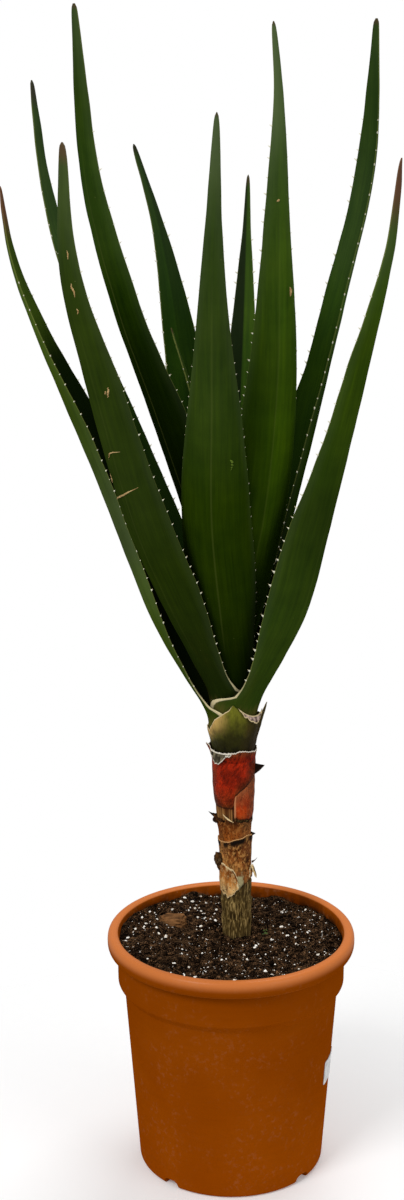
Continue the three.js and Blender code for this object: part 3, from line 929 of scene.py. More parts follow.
@dataclass
class NurseryPot:
    """The round moulded pot: rolled rim, straight band, tapered wall and a notched foot."""

    height: float = 0.240
    rim_radius: float = 0.120
    rim_width: float = 0.0115
    rim_depth: float = 0.0172
    rim_square: float = 0.74
    rim_from: float = -58.0
    rim_points: int = 35
    band_radius: float = 0.1105
    band_foot: float = 0.190
    step_radius: float = 0.1039
    step_height: float = 0.182
    foot_radius: float = 0.0904
    foot_round: float = 0.0045
    wall: float = 0.0021
    standing_ring: float = 0.072
    centre_pad: float = 0.014
    floor_under: float = 0.0063
    floor: float = 0.0085
    notch_sides: tuple[float, ...] = (50, 140, 230, 320)
    notch_width: float = 0.0172
    notch_height: float = 0.0076
    drain_radius: float = 0.006
    drain_ring: float = 0.050
    segments: int = 216

    def wall_radius(self, height: float) -> float:
        """Outer radius of the tapered wall at a height."""
        return along([(self.foot_round, self.foot_radius), (self.step_height, self.step_radius)], height)

    def profile(self) -> list[Vector]:
        """Radius and height round the pot's section, from the axis under the floor to the axis above it.

        Returns:
            The points.
        """
        rim_x = self.rim_radius - self.rim_width / 2
        rim_z = self.height - self.rim_depth / 2
        inner = self.band_radius - self.wall
        corners = [
            (0.0, 0.0, 0.0),
            (self.centre_pad, 0.0, 0.0005),
            (self.centre_pad + 0.002, self.floor_under, 0.0005),
            (self.standing_ring - 0.002, self.floor_under, 0.0005),
            (self.standing_ring, 0.0, 0.0006),
            (self.foot_radius, 0.0, self.foot_round),
            (self.step_radius, self.step_height, 0.004),
            (self.band_radius - 0.0004, self.band_foot, 0.004),
            (self.band_radius, rim_z - 0.003, 0.0006),
            (self.band_radius + 0.0012, rim_z - 0.001, 0.0006),
            (self.rim_radius - self.wall - 0.0012, rim_z - 0.006, 0.0006),
        ]
        after = [
            (inner + 0.001, rim_z - 0.004, 0.003),
            (inner, self.band_foot + 0.020, 0.002),
            (inner - 0.0004, self.band_foot, 0.003),
            (self.step_radius - self.wall, self.step_height, 0.003),
            (self.foot_radius - self.wall, self.floor + 0.004, 0.002),
            (self.foot_radius - self.wall - 0.0035, self.floor, 0.001),
            (0.0, self.floor, 0.0),
        ]
        rim = []
        for i in range(self.rim_points):
            a = math.radians(lerp(self.rim_from, 180, i / (self.rim_points - 1)))
            wide, tall = (math.copysign(abs(v) ** self.rim_square, v) for v in (math.cos(a), math.sin(a)))
            rim.append(Vector((rim_x + self.rim_width / 2 * wide, rim_z + self.rim_depth / 2 * tall, 0)))
        return [*self._rounded(corners), *rim, *self._rounded(after)]

    @staticmethod
    def _rounded(corners: Sequence[tuple[float, float, float]]) -> list[Vector]:
        """A line through corners, each rounded by its own radius.

        Args:
            corners: Each corner's radius, height and rounding.

        Returns:
            The points.
        """
        line = []
        for i, (x, z, radius) in enumerate(corners):
            here = Vector((x, z, 0))
            if not radius or i in (0, len(corners) - 1):
                line.append(here)
                continue
            before, after = (Vector((*corners[k][:2], 0)) - here for k in (i - 1, i + 1))
            angle = before.angle(after)
            reach = min(radius / math.tan(angle / 2), 0.45 * before.length, 0.45 * after.length)
            start, end = here + before.normalized() * reach, here + after.normalized() * reach
            for k in range(6):
                t = k / 5
                line.append(start * (1 - t) ** 2 + here * (2 * t * (1 - t)) + end * t**2)
        return line

    def build(self, finish: PotPlastic) -> None:
        """Makes the pot.

        Args:
            finish: Its finish.
        """
        draft = MeshDraft()
        turns = [360 * j / self.segments for j in range(self.segments)]
        profile = self.profile()
        rows = [[around(p.x, turn, p.y) for turn in turns] for p in profile[1:-1]]
        draft.loft(rows, capped=False)
        count = self.segments
        for centre, ring in ((profile[0], 0), (profile[-1], len(rows) - 1)):
            hub = len(draft.points)
            fan = [(hub, ring * count + j, ring * count + (j + 1) % count) for j in range(count)]
            draft.points.append(Vector((0, 0, centre.y)))
            draft.faces.extend(fan)
        pot = draft.build("nursery_pot", [finish.material()])
        carve(pot, [*self._notches(), *self._drains()])
        pot.data.shade_smooth()
        pot.data.set_sharp_from_angle(angle=math.radians(38))
        mount(pot, "pot_plastic", "pot")

    def _notches(self) -> list[bpy.types.Object]:
        """Cutters for the notches in the foot.

        Returns:
            The cutters.
        """
        cutters = []
        for side in self.notch_sides:
            draft = MeshDraft()
            half, top = self.notch_width / 2, self.notch_height
            shoulder = [(half, top * 0.4), (half * 0.86, top * 0.75), (half * 0.5, top * 0.97)]
            arch = [(-half, -top), (half, -top), *shoulder, *((-y, z) for y, z in reversed(shoulder))]
            ends = (self.foot_radius - 0.024, self.foot_radius + 0.008)
            rows = [[Vector((x, y, z)) for y, z in arch] for x in ends]
            draft.loft(rows)
            cutter = draft.build("notch", [])
            cutter.data.transform(Matrix.Rotation(math.radians(side), 4, "Z"))
            cutters.append(cutter)
        return cutters

    def _drains(self) -> list[bpy.types.Object]:
        """Cutters for the drain holes in the floor.

        Returns:
            The cutters.
        """
        cutters = []
        for side in self.notch_sides:
            centre = around(self.drain_ring, side, 0)
            draft = MeshDraft()
            heights = (self.floor - 0.006, self.floor + 0.006)
            draft.loft([[around(self.drain_radius, 15 * j, z, centre) for j in range(24)] for z in heights])
            cutters.append(draft.build("drain", []))
        return cutters


@dataclass
class BareStem:
    """The woody stem, with its leaf-scar rings and fibres, up to the growing point."""

    foot: Vector = field(default_factory=lambda: Vector((0.006, 0.006, 0.2295)))
    crown: Vector = field(default_factory=lambda: Vector((0.002, 0.003, 0.450)))
    profile: Pairs = (
        (0.142, 0.008), (0.148, 0.012), (0.200, 0.013), (0.236, 0.014), (0.250, 0.0149), (0.254, 0.0142),
        (0.268, 0.0151), (0.272, 0.0143), (0.288, 0.015), (0.300, 0.0146), (0.314, 0.0144), (0.334, 0.0152),
        (0.357, 0.0158), (0.372, 0.017), (0.390, 0.0184), (0.414, 0.0182), (0.432, 0.0189), (0.450, 0.0206),
        (0.466, 0.0186), (0.480, 0.017), (0.520, 0.0121), (0.541, 0.0095), (0.552, 0.0081), (0.562, 0.0066),
    )
    scars: tuple[float, ...] = (0.252, 0.270, 0.289, 0.302, 0.331, 0.346, 0.361)
    scar_height: float = 0.00045
    scar_width: float = 0.0011
    slack: Pairs = ((0.284, 0), (0.300, 0.0010), (0.348, 0.0010), (0.364, 0))
    columns: int = 112
    step: float = 0.0011

    def centre(self, height: float) -> Vector:
        """Centre of the stem at a height.

        Args:
            height: The height.

        Returns:
            The centre.
        """
        share = clamp((height - self.foot.z) / (self.crown.z - self.foot.z))
        point = self.foot.lerp(self.crown, share)
        return Vector((point.x, point.y, height))

    def build(self, finish: StemBark) -> None:
        """Makes the stem.

        Args:
            finish: Its finish.
        """
        draft = MeshDraft()
        low, high = self.profile[0][0], self.profile[-1][0]
        count = round((high - low) / self.step)
        rings = []
        for i in range(count + 1):
            z = lerp(low, high, i / count)
            radius = eased(self.profile, z) - along(self.slack, z)
            centre = self.centre(z)
            scar = sum(self.scar_height * math.exp(-(((z - at) / self.scar_width) ** 2)) for at in self.scars)
            ring = []
            for j in range(self.columns):
                point = around(radius, 360 * j / self.columns, z, centre)
                probe = Vector((point.x, point.y, z * 0.1))
                fibre = 0.00032 * ripple(probe, 0.0024, 3) + 0.0004 * ripple(Vector(point), 0.012, 3)
                wave = scar * (1.0 + 0.8 * ripple(point, 0.006, 2))
                out = Vector((point.x - centre.x, point.y - centre.y, 0)).normalized()
                ring.append(point + out * (fibre + wave - 0.0002))
            rings.append(ring)
        draft.loft(rings)
        mount(draft.build("bare_stem", [finish.material()]), "stem_bark", "stem")


@dataclass
class SoilBed:
    """The peat that fills the pot, with its clods, fibres and grains of perlite."""

    pot: NurseryPot
    stem: BareStem
    edge_radius: float = 0.1087
    level: float = 0.2295
    fall_to_right: float = 0.005
    mound: float = 0.0025
    lump: float = 0.0019
    hole_radius: float = 0.0152
    rings: int = 118
    segments: int = 380
    perlite: int = 620
    perlite_size: tuple[float, float] = (0.00035, 0.0015)
    perlite_rough: float = 0.95
    clods: int = 1700
    foot_clods: int = 130
    clod_size: tuple[float, float] = (0.0007, 0.0028)
    fibres: int = 520
    seed: int = 11

    def ground(self, x: float, y: float) -> float:
        """Height of the surface without its crumbs.

        Args:
            x: Distance to the right of the axis.
            y: Distance behind it.

        Returns:
            The height.
        """
        mx, my = x / MM, y / MM
        from_stem = math.hypot(x - self.stem.foot.x, y - self.stem.foot.y)
        tilt = -x / self.edge_radius * self.fall_to_right / 2
        mound = self.mound * math.exp(-((from_stem / 0.042) ** 2))
        small = math.sin(mx / 7.3 + 1) * math.cos(my / 8.1)
        broad = math.sin((mx + my) / 12.7) * math.cos((mx - 2 * my) / 15.1)
        fade = smoothstep(from_stem, 0.016, 0.034)
        return self.level + tilt + mound + self.lump * (small + broad) * fade

    def relief(self, x: float, y: float) -> float:
        """Height of the crumbs above the ground.

        Args:
            x: Distance to the right of the axis.
            y: Distance behind it.

        Returns:
            The height.
        """
        spot = Vector((x, y, 0))
        cells = noise.voronoi(spot / 0.0052)[0]
        clod = clamp(1.0 - 1.5 * cells[0]) * (0.5 + 0.5 * noise.noise(spot / 0.02))
        return 0.0021 * clod + 0.0011 * ripple(spot, 0.0062, 4) + 0.0004 * ripple(spot, 0.0016, 2)

    def surface(self, x: float, y: float) -> float:
        """Height of the surface with its crumbs."""
        return self.ground(x, y) + self.relief(x, y)

    def _spot(self, draw: random.Random, margin: float) -> Vector:
        """A random place on the surface, at least the margin from the pot and the stem.

        Args:
            draw: The source of chance.
            margin: The margin.

        Returns:
            The place.
        """
        while True:
            radius = (self.edge_radius - margin) * math.sqrt(draw.random())
            spot = around(radius, draw.uniform(0, 360), 0)
            if math.hypot(spot.x - self.stem.foot.x, spot.y - self.stem.foot.y) > self.hole_radius + margin:
                spot.z = self.surface(spot.x, spot.y)
                return spot

    def build(self, peat: Peat, perlite: Grit, root: Grit, sprout: Grit) -> None:
        """Makes the bed, its clods and fibres, its perlite and a few green scraps.

        Args:
            peat: The bed's finish.
            perlite: The grains' finish.
            root: The fibres' finish.
            sprout: The scraps' finish.
        """
        draft = MeshDraft()
        foot = self.stem.foot
        p = self.pot
        sides = [
            (p.foot_radius - p.wall - 0.004, p.floor + 0.0003),
            (p.foot_radius - p.wall - 0.0003, p.floor + 0.0042),
            (p.step_radius - p.wall - 0.0003, p.step_height + 0.0002),
            (p.band_radius - p.wall - 0.0008, p.band_foot + 0.0004),
            (p.band_radius - p.wall - 0.0005, p.band_foot + 0.019),
        ]
        turns = [360 * j / self.segments for j in range(self.segments)]
        rings = [[around(0.00001, t, sides[0][1]) for t in turns]]
        rings += [[around(r, t, z) for t in turns] for r, z in sides]
        # crest values here are painted shade: 0.3 down the wall, by relief height on the surface, 0.2 down the
        # hole round the stem.
        crest = [[0.3] * self.segments for _ in rings]
        for i in range(self.rings + 1):
            share = 1 - i / self.rings
            ring, tops = [], []
            for t in turns:
                outer, inner = around(self.edge_radius, t, 0), around(self.hole_radius - 0.001, t, 0, foot)
                x, y = lerp(inner.x, outer.x, share), lerp(inner.y, outer.y, share)
                relief = self.relief(x, y)
                ring.append(Vector((x, y, self.ground(x, y) + relief)))
                tops.append(clamp(0.35 + relief / 0.004))
            rings.append(ring)
            crest.append(tops)
        for radius in (self.hole_radius - 0.001, 0.00001):
            rings.append([around(radius, t, 0.1417, foot) for t in turns])
            crest.append([0.2] * self.segments)
        draft.loft(rings, {"crest": crest}, capped=False)
        skin = peat.material()
        mount(draft.build("peat_bed", [skin]), "peat", "soil")
        draw = random.Random(self.seed)
        self._scatter_clods(draw, skin)
        self._scatter_fibres(draw, root.material())
        self._scatter_perlite(draw, perlite.material())
        self._scatter_scraps(draw, sprout.material())

    def _scatter_clods(self, draw: random.Random, skin: bpy.types.Material) -> None:
        """Loose lumps of peat, with a ring of them round the stem's foot.

        Args:
            draw: The source of chance.
            skin: Its material.
        """
        draft = MeshDraft()
        for i in range(self.clods + self.foot_clods):
            spot = self._spot(draw, 0.003)
            if i >= self.clods:
                reach = self.hole_radius + draw.uniform(-0.0012, 0.006)
                spot = around(reach, draw.uniform(0, 360), 0.0, self.stem.foot)
                spot.z = self.surface(spot.x, spot.y) + 0.0008
            size = lerp(*self.clod_size, draw.random() ** 1.8)
            sizes = Vector((size * draw.uniform(0.9, 1.5), size, size * draw.uniform(0.55, 0.9)))
            points, faces = crumb(spot + Vector((0, 0, 0.25 * size)), sizes, i + 1)
            draft.add(points, faces, {"crest": draw.uniform(0.0, 1.2)})
        mount(draft.build("peat_clods", [skin]), "peat")

    def _scatter_fibres(self, draw: random.Random, skin: bpy.types.Material) -> None:
        """Short root and moss fibres that lie on the peat.

        Args:
            draw: The source of chance.
            skin: Its material.
        """
        draft = MeshDraft()
        for _ in range(self.fibres):
            start = self._spot(draw, 0.008)
            heading, length = draw.uniform(0, 2 * math.pi), draw.uniform(0.004, 0.013)
            path = []
            for k in range(7):
                heading += draw.uniform(-0.35, 0.35)
                step = Vector((math.cos(heading), math.sin(heading), 0)) * (length / 6)
                last = path[-1] + step if path else start
                radius = math.hypot(last.x, last.y)
                if radius > self.edge_radius - 0.002:
                    last = last * ((self.edge_radius - 0.002) / radius)
                height = self.surface(last.x, last.y) + 0.0004 + 0.0007 * math.sin(math.pi * k / 6)
                path.append(Vector((last.x, last.y, height)))
            width = draw.uniform(0.00014, 0.0003)
            draft.loft(tube(path, [width * math.sin(math.pi * (0.12 + 0.76 * k / 6)) for k in range(7)]))
        mount(draft.build("peat_fibres", [skin]), "peat")

    def _scatter_perlite(self, draw: random.Random, skin: bpy.types.Material) -> None:
        """White grains, most of them small, half sunk in the peat.

        Args:
            draw: The source of chance.
            skin: Its material.
        """
        draft = MeshDraft()
        for i in range(self.perlite):
            spot = self._spot(draw, 0.0035)
            size = lerp(*self.perlite_size, draw.random() ** 4.5)
            sizes = Vector((size * draw.uniform(0.9, 1.7), size, size * draw.uniform(0.6, 1.0)))
            points, faces = crumb(spot + Vector((0, 0, 0.35 * size)), sizes, 2000 + i, self.perlite_rough)
            draft.add(points, faces)
        mount(draft.build("perlite_grains", [skin], math.radians(24)), "peat")

    def _scatter_scraps(self, draw: random.Random, skin: bpy.types.Material) -> None:
        """Small green scraps right of the stem.

        Args:
            draw: The source of chance.
            skin: Its material.
        """
        draft = MeshDraft()
        for i in range(9):
            x, y = draw.uniform(0.028, 0.036), draw.uniform(0.004, 0.022)
            size = draw.uniform(0.0008, 0.0017)
            spot = Vector((x, y, self.surface(x, y) + 0.5 * size))
            points, faces = crumb(spot, Vector((size * 1.6, size, size * 0.6)), 5000 + i)
            draft.add(points, faces)
        mount(draft.build("green_scraps", [skin]), "peat")


@dataclass
class LooseBark:
    """The piece of bark that lies on the peat."""

    x: float = -0.057
    y: float = 0.034
    length: float = 0.029
    width: float = 0.019
    height: float = 0.009
    heading: float = -14.0

    def build(self, soil: SoilBed, finish: Grit) -> None:
        """Makes the chip.

        Args:
            soil: The peat that it lies on.
            finish: Its finish.
        """
        round_points, faces = ball(5)
        turn = Matrix.Rotation(math.radians(self.heading), 3, "Z")
        centre = Vector((self.x, self.y, soil.ground(self.x, self.y) - 0.0005))
        points = []
        for p in round_points:
            grain = 0.14 * ripple(Vector((p.x * 0.25, p.y, p.z)) + Vector((4, 1, 2)), 0.16, 3)
            lump = 1.0 + 0.26 * noise.noise(p * 1.5 + Vector((7, 2, 5))) + grain
            local = Vector((p.x * self.length / 2, p.y * self.width / 2, p.z * self.height))
            points.append(centre + turn @ (local * lump * 0.95))
        draft = MeshDraft()
        draft.add(points, faces)
        mount(draft.build("loose_bark", [finish.material()]), "bark", "bark_chip")


@dataclass
class Sticker:
    """The plain white sticker on the tapered wall."""

    start: float = -23.0
    stop: float = -2.0
    low: float = 0.092
    high: float = 0.117
    thickness: float = 0.00045

    def build(self, pot: NurseryPot, finish: StickerPaper) -> None:
        """Makes the sticker, with rounded corners.

        Args:
            pot: The pot that it is stuck to.
            finish: Its finish.
        """
        draft = MeshDraft()
        columns, rows = 48, 30
        rings = []
        for i in range(rows + 1):
            up = i / rows
            z = lerp(self.low, self.high, up)
            inset = 1.2 * (1 - math.sqrt(1 - clamp(abs(2 * up - 1) * 13 - 12) ** 2))
            angles = [lerp(self.start + inset, self.stop - inset, j / columns) for j in range(columns + 1)]
            radius = pot.wall_radius(z) + 0.0003
            bumps = [self.thickness + 0.00008 * ripple(around(1, a, z), 0.02) for a in angles]
            outer = [around(radius + bump, a, z) for a, bump in zip(angles, bumps)]
            inner = [around(radius, a, z) for a in reversed(angles)]
            rings.append([*outer, *inner])
        draft.loft(rings)
        sticker = draft.build("bare_sticker", [finish.material()], math.radians(50))
        mount(sticker, "label_paper", "label")


@dataclass(frozen=True)
class Flap:
    """A place where a dried sheath stands off the stem."""

    at: float
    width: float
    reach: float
    rise: float


@dataclass(frozen=True)
class Thorn:
    """An old margin tooth or shred that sticks out of a sheath."""

    at: float
    height: float
    length: float
    root: float
    lift: float
    char: float = 1.0


@dataclass(frozen=True)
class Scrap:
    """A strip of a sheath's upper edge, torn and folded down over its outside, deepest at its tip."""

    start: float
    stop: float
    height: float
    drop: float
    lift: float
    tip: float = 0.5
    tilt: float = 0.0
    paper: float = 0.8
    char: float = 0.0
    sag: float = 0.0


@dataclass(frozen=True)
class Stub:
    """A dark dried lump that is left of a torn leaf base."""

    at: float
    height: float
    width: float
    tall: float
    reach: float


@dataclass(frozen=True)
class Patch:
    """A place of a sheath, from one angle and height to another, where bare grey skin shows."""

    start: float
    stop: float
    low: float
    high: float


@dataclass(frozen=True)
class SheathSpot:
    """One place of a sheath: its outer and inner point, how torn and papery it is, and how dark it is from
    char and painted shade.
    """

    outer: Vector
    inner: Vector
    rim: float
    char: float
    paper: float = 0.0


@dataclass(frozen=True)
class DriedSheath:
    """The dried base of one cut leaf, wrapped round the stem, with torn edges.

    Edges are heights by angle, fit is the inner radius by height, and lip is how pale the torn upper edge is
    by angle.
    """

    name: str
    slot: str
    skin: DrySkin
    start: float
    stop: float
    low: Pairs
    high: Pairs
    fit: Pairs
    thickness: float
    nodes: tuple[str, ...] = ()
    rag_low: float = 0.0006
    rag_high: float = 0.0012
    curl: float = 0.0
    lip: Pairs = ((0, 1.0), (360, 1.0))
    lip_low: float = 0.0
    char_low: float = 0.0
    # painted_lip_shadow is the strength of a painted shadow band under the upper lip, as deep as under.
    painted_lip_shadow: float = 0.0
    under: float = 0.0065
    lip_width: float = 0.0016
    rag_ends: float = 0.0
    flutes: float = 0.0
    patch: Patch | None = None
    flaps: tuple[Flap, ...] = ()
    thorns: tuple[Thorn, ...] = ()
    scraps: tuple[Scrap, ...] = ()
    stubs: tuple[Stub, ...] = ()
    rows: int = 34

    def build(self, stem: BareStem) -> None:
        """Makes the sheath with its thorns, scraps and stubs.

        Args:
            stem: The stem that it is wrapped round.
        """
        draft = MeshDraft()
        columns = max(24, round((self.stop - self.start) / 2.0))
        angles = [lerp(self.start, self.stop, j / columns) for j in range(columns + 1)]
        ups = [0.5 - 0.5 * math.cos(math.pi * i / self.rows) for i in range(self.rows + 1)]
        self._add_skin(draft, [[self._spot(stem, angle, up) for angle in angles] for up in ups], ups)
        for thorn in self.thorns:
            self._add_thorn(draft, stem, thorn)
        for scrap in self.scraps:
            self._add_scrap(draft, stem, scrap)
        for stub in self.stubs:
            self._add_stub(draft, stem, stub)
        mount(draft.build(self.name, [self.skin.material()], math.radians(60)), self.slot, *self.nodes)

    @staticmethod
    def _add_skin(draft: MeshDraft, grid: Sequence[Sequence[SheathSpot]], ups: Sequence[float]) -> None:
        """Adds a closed sheet from a grid of places, whose rows have these shares of the height.

        Args:
            draft: The mesh that it goes into.
            grid: The places, row by row.
            ups: Each row's share of the height.
        """
        rings = [[*(s.outer for s in row), *(s.inner for s in reversed(row))] for row in grid]
        both = [[*row, *reversed(row)] for row in grid]
        names = ("rim", "char", "paper")
        values = {name: [[getattr(s, name) for s in row] for row in both] for name in names}
        values["up"] = [[up] * len(rings[0]) for up in ups]
        draft.loft(rings, values)

    def _spot(self, stem: BareStem, angle: float, up: float) -> SheathSpot:
        """The place at an angle and a share of the height.

        Args:
            stem: The stem that it is wrapped round.
            angle: The angle in degrees.
            up: The share of the height.

        Returns:
            The place.
        """
        seed = sum(map(ord, self.name))
        span = self.stop - self.start
        ends = (angle - self.start) / span
        drift = self.rag_ends * ripple(Vector((seed * 0.1, ends, up)) * 0.02, 0.006, 3)
        angle += drift * (smoothstep(ends, 0.7, 1.0) + smoothstep(ends, 0.3, 0.0))
        side = angle % 360
        spot = Vector((math.cos(math.radians(side)), math.sin(math.radians(side)), seed * 0.37)) * 0.02
        low = along(self.low, side) + self.rag_low * (ripple(spot, 0.004, 4) + 0.5 * ripple(spot, 0.0011, 2))
        tear = ripple(spot + Vector((0.3, 0, 0)), 0.005, 4) + 0.6 * ripple(spot, 0.0012, 2)
        high = along(self.high, side) + self.rag_high * tear
        reach = self.curl * smoothstep(up, 0.7, 1.0) * (0.6 + 0.8 * ripple(spot, 0.01, 2))
        for flap in self.flaps:
            near = max(0.0, 1 - abs(side - flap.at) / (flap.width / 2))
            near = near * near * (3 - 2 * near)
            reach += flap.reach * near * up**2
            high += flap.rise * near
        z = lerp(low, high, up)
        centre = stem.centre(z)
        pucker = 0.00032 * ripple(Vector((spot.x, spot.y, z * 0.12)), 0.0028, 3)
        pucker += 0.00035 * ripple(Vector((spot.x, spot.y, z)), 0.009, 2)
        ridge = abs(math.sin(math.radians(side) * 17 + 4 * ripple(spot, 0.009, 2)))
        radius = along(self.fit, z) + reach + pucker + self.flutes * ridge
        thickness = self.thickness * (0.5 + 0.5 * smoothstep(min(up, 1 - up), 0.0, 0.12))
        from_ends = math.radians(min(ends, 1 - ends) * span) * STEM_RADIUS
        away = smoothstep(min(high - z, from_ends), 0.25 * self.lip_width, self.lip_width)
        lip = along(self.lip, side) * (1.0 - away)
        rim = max(lip, self.lip_low * (1.0 - smoothstep(z - low, 0.0003, 0.0014)))
        char = self.char_low * (1.0 - smoothstep(z - low, 0.0002, 0.0028))
        # A painted shadow band under the curled upper lip.
        under = smoothstep(high - z, 0.0006, 0.0016)
        under *= 1.0 - smoothstep(high - z, 0.45 * self.under, self.under)
        char = max(char, self.painted_lip_shadow * under * smoothstep(ripple(spot, 0.009, 2), -0.5, 0.1))
        paper = self._bareness(side, z)
        # On a fluted skin the grooves between ridges are darkened as painted shade.
        if self.flutes:
            paper = 0.8 * ridge**2 * smoothstep(up, 1.0, 0.5)
            char = max(char, 0.6 * (1 - ridge) ** 2)
        outer, inner = around(radius + thickness, angle, z, centre), around(radius, angle, z, centre)
        return SheathSpot(outer, inner, rim, char, paper)

    def _bareness(self, side: float, z: float) -> float:
        """How far a place lies inside the bare patch.

        Args:
            side: Its angle in degrees.
            z: Its height.

        Returns:
            0 outside the patch to 1 inside.
        """
        if not self.patch:
            return 0.0
        p = self.patch
        from_sides = math.radians(min(side - p.start, p.stop - side)) * STEM_RADIUS
        within = min(from_sides, z - p.low, p.high - z)
        ragged = 0.0014 * ripple(Vector((side * 0.0003, z, 0.1)), 0.003, 3)
        return smoothstep(within + ragged, -0.0004, 0.0008)

    def _add_thorn(self, draft: MeshDraft, stem: BareStem, thorn: Thorn) -> None:
        """Adds a bent thorn whose root is sunk in the sheath.

        Args:
            draft: The mesh that it goes into.
            stem: The stem that it is wrapped round.
            thorn: Its sizes.
        """
        centre = stem.centre(thorn.height)
        radius = along(self.fit, thorn.height)
        out = around(1.0, thorn.at, 0.0)
        side = Vector((-out.y, out.x, 0))
        root = around(radius - 0.0004, thorn.at, thorn.height, centre)
        rings = []
        for k in range(11):
            t = k / 10
            middle = root + out * (thorn.length * t) + Vector((0, 0, thorn.lift * t**1.6))
            half = thorn.root / 2 * (1 - t) ** 0.9 + 0.00012
            turns = [2 * math.pi * n / 14 for n in range(14)]
            up = Vector((0, 0, half))
            ring = [middle + up * math.sin(a) + side * (0.4 * half * math.cos(a)) for a in turns]
            wrinkle = [0.00035 * (1 - t) * ripple(p, 0.0022, 2) for p in ring]
            rings.append([p + (p - middle).normalized() * w for p, w in zip(ring, wrinkle)])
        draft.loft(rings, {"up": 0.5, "rim": 0.0, "char": thorn.char, "paper": 0.0})

    def _add_scrap(self, draft: MeshDraft, stem: BareStem, scrap: Scrap) -> None:
        """Adds a scrap, folded over the edge.

        Args:
            draft: The mesh that it goes into.
            stem: The stem that it is wrapped round.
            scrap: Its sizes.
        """
        columns, rows = 60, 26
        fold = along(self.fit, scrap.height) + self.thickness
        grid = []
        for i in range(rows + 1):
            v = 0.5 - 0.5 * math.cos(math.pi * i / rows)
            row = []
            for j in range(columns + 1):
                u = j / columns
                angle = lerp(scrap.start, scrap.stop, u)
                side = u / scrap.tip if u < scrap.tip else (1 - u) / (1 - scrap.tip)
                spot = around(0.02, angle, scrap.height)
                depth = scrap.drop * (side**0.8 + 0.22 * ripple(spot, 0.0024, 3) * min(1.0, 4 * side))
                depth = max(depth, 0.0003)
                z = scrap.height + scrap.tilt * (u - 0.5) - 4 * scrap.sag * u * (1 - u) - depth * v
                centre = stem.centre(z)
                crimp = 0.0008 * ripple(Vector((spot.x, spot.y, z * 0.5)), 0.0032, 2) * min(1.0, 3 * v)
                radius = fold - 0.0002 + scrap.lift * side * math.sin(v * 1.9) + crimp
                free = depth * (1 - v)
                rim = 1.0 - smoothstep(min(free, depth * v + 0.0002), 0.0006, 0.0017)
                outer, inner = around(radius + 0.0005, angle, z, centre), around(radius, angle, z, centre)
                # Where the crimp dips inward the scrap is darkened as painted shade in its folds.
                dark = scrap.char * (1 - rim) * smoothstep(crimp, 0.0004, -0.0002)
                row.append(SheathSpot(outer, inner, rim, dark, scrap.paper))
            grid.append(row)
        self._add_skin(draft, list(reversed(grid)), [1 - 0.8 * i / rows for i in range(rows, -1, -1)])

    def _add_stub(self, draft: MeshDraft, stem: BareStem, stub: Stub) -> None:
        """Adds a stub that stands half sunk in the sheath.

        Args:
            draft: The mesh that it goes into.
            stem: The stem that it is wrapped round.
            stub: Its sizes.
        """
        out = around(1.0, stub.at, 0.0)
        radius = along(self.fit, stub.height) + self.thickness
        centre = around(radius, stub.at, stub.height, stem.centre(stub.height))
        side = Vector((-out.y, out.x, 0))
        axes = (out * stub.reach, side * stub.width / 2, Vector((0, 0, stub.tall / 2)) + out * 0.0008)
        points, faces = lump(centre, axes, round(stub.at + stub.height * 1000), 4, 0.5)
        draft.add(points, faces, {"up": 0.5, "rim": 0.0, "char": 0.85, "paper": 0.0})


@dataclass(frozen=True)
class Scar:
    """A healed scratch on a leaf's outer face, through places of share along it and share across it."""

    path: tuple[tuple[float, float], ...]
    width: float = 0.0011


@dataclass(frozen=True)
class Blade:
    """Sizes that all the leaves share."""

    outline: Pairs = (
        (0, 1), (0.03, 0.8), (0.07, 0.66), (0.13, 0.74), (0.22, 0.93), (0.3, 1), (0.4, 0.96), (0.5, 0.8),
        (0.62, 0.57), (0.74, 0.36), (0.85, 0.22), (0.93, 0.155), (0.97, 0.115), (0.99, 0.08), (0.998, 0.045),
        (1, 0.012),
    )
    flesh: Pairs = (
        (0, 0.2), (0.05, 0.3), (0.12, 0.6), (0.26, 1), (0.5, 0.8), (0.75, 0.55), (0.96, 0.42), (1, 0.14),
    )
    thick: float = 0.0085
    edge: float = 0.0013
    edge_tip: float = 0.0009
    channel: float = 0.042
    channel_tip: float = 0.42
    wrap: float = 1.25
    stations: int = 150
    columns: int = 34


@dataclass(frozen=True)
class MarginTeeth:
    """The hooked teeth along a leaf's margins."""

    length: float = 0.0026
    root: float = 0.003
    thick: float = 0.0012
    sunk: float = 0.0008
    spacing: float = 0.0112
    first: float = 0.085
    last: float = 0.86
    hook: float = 0.5
    rings: int = 6
    sides: int = 8


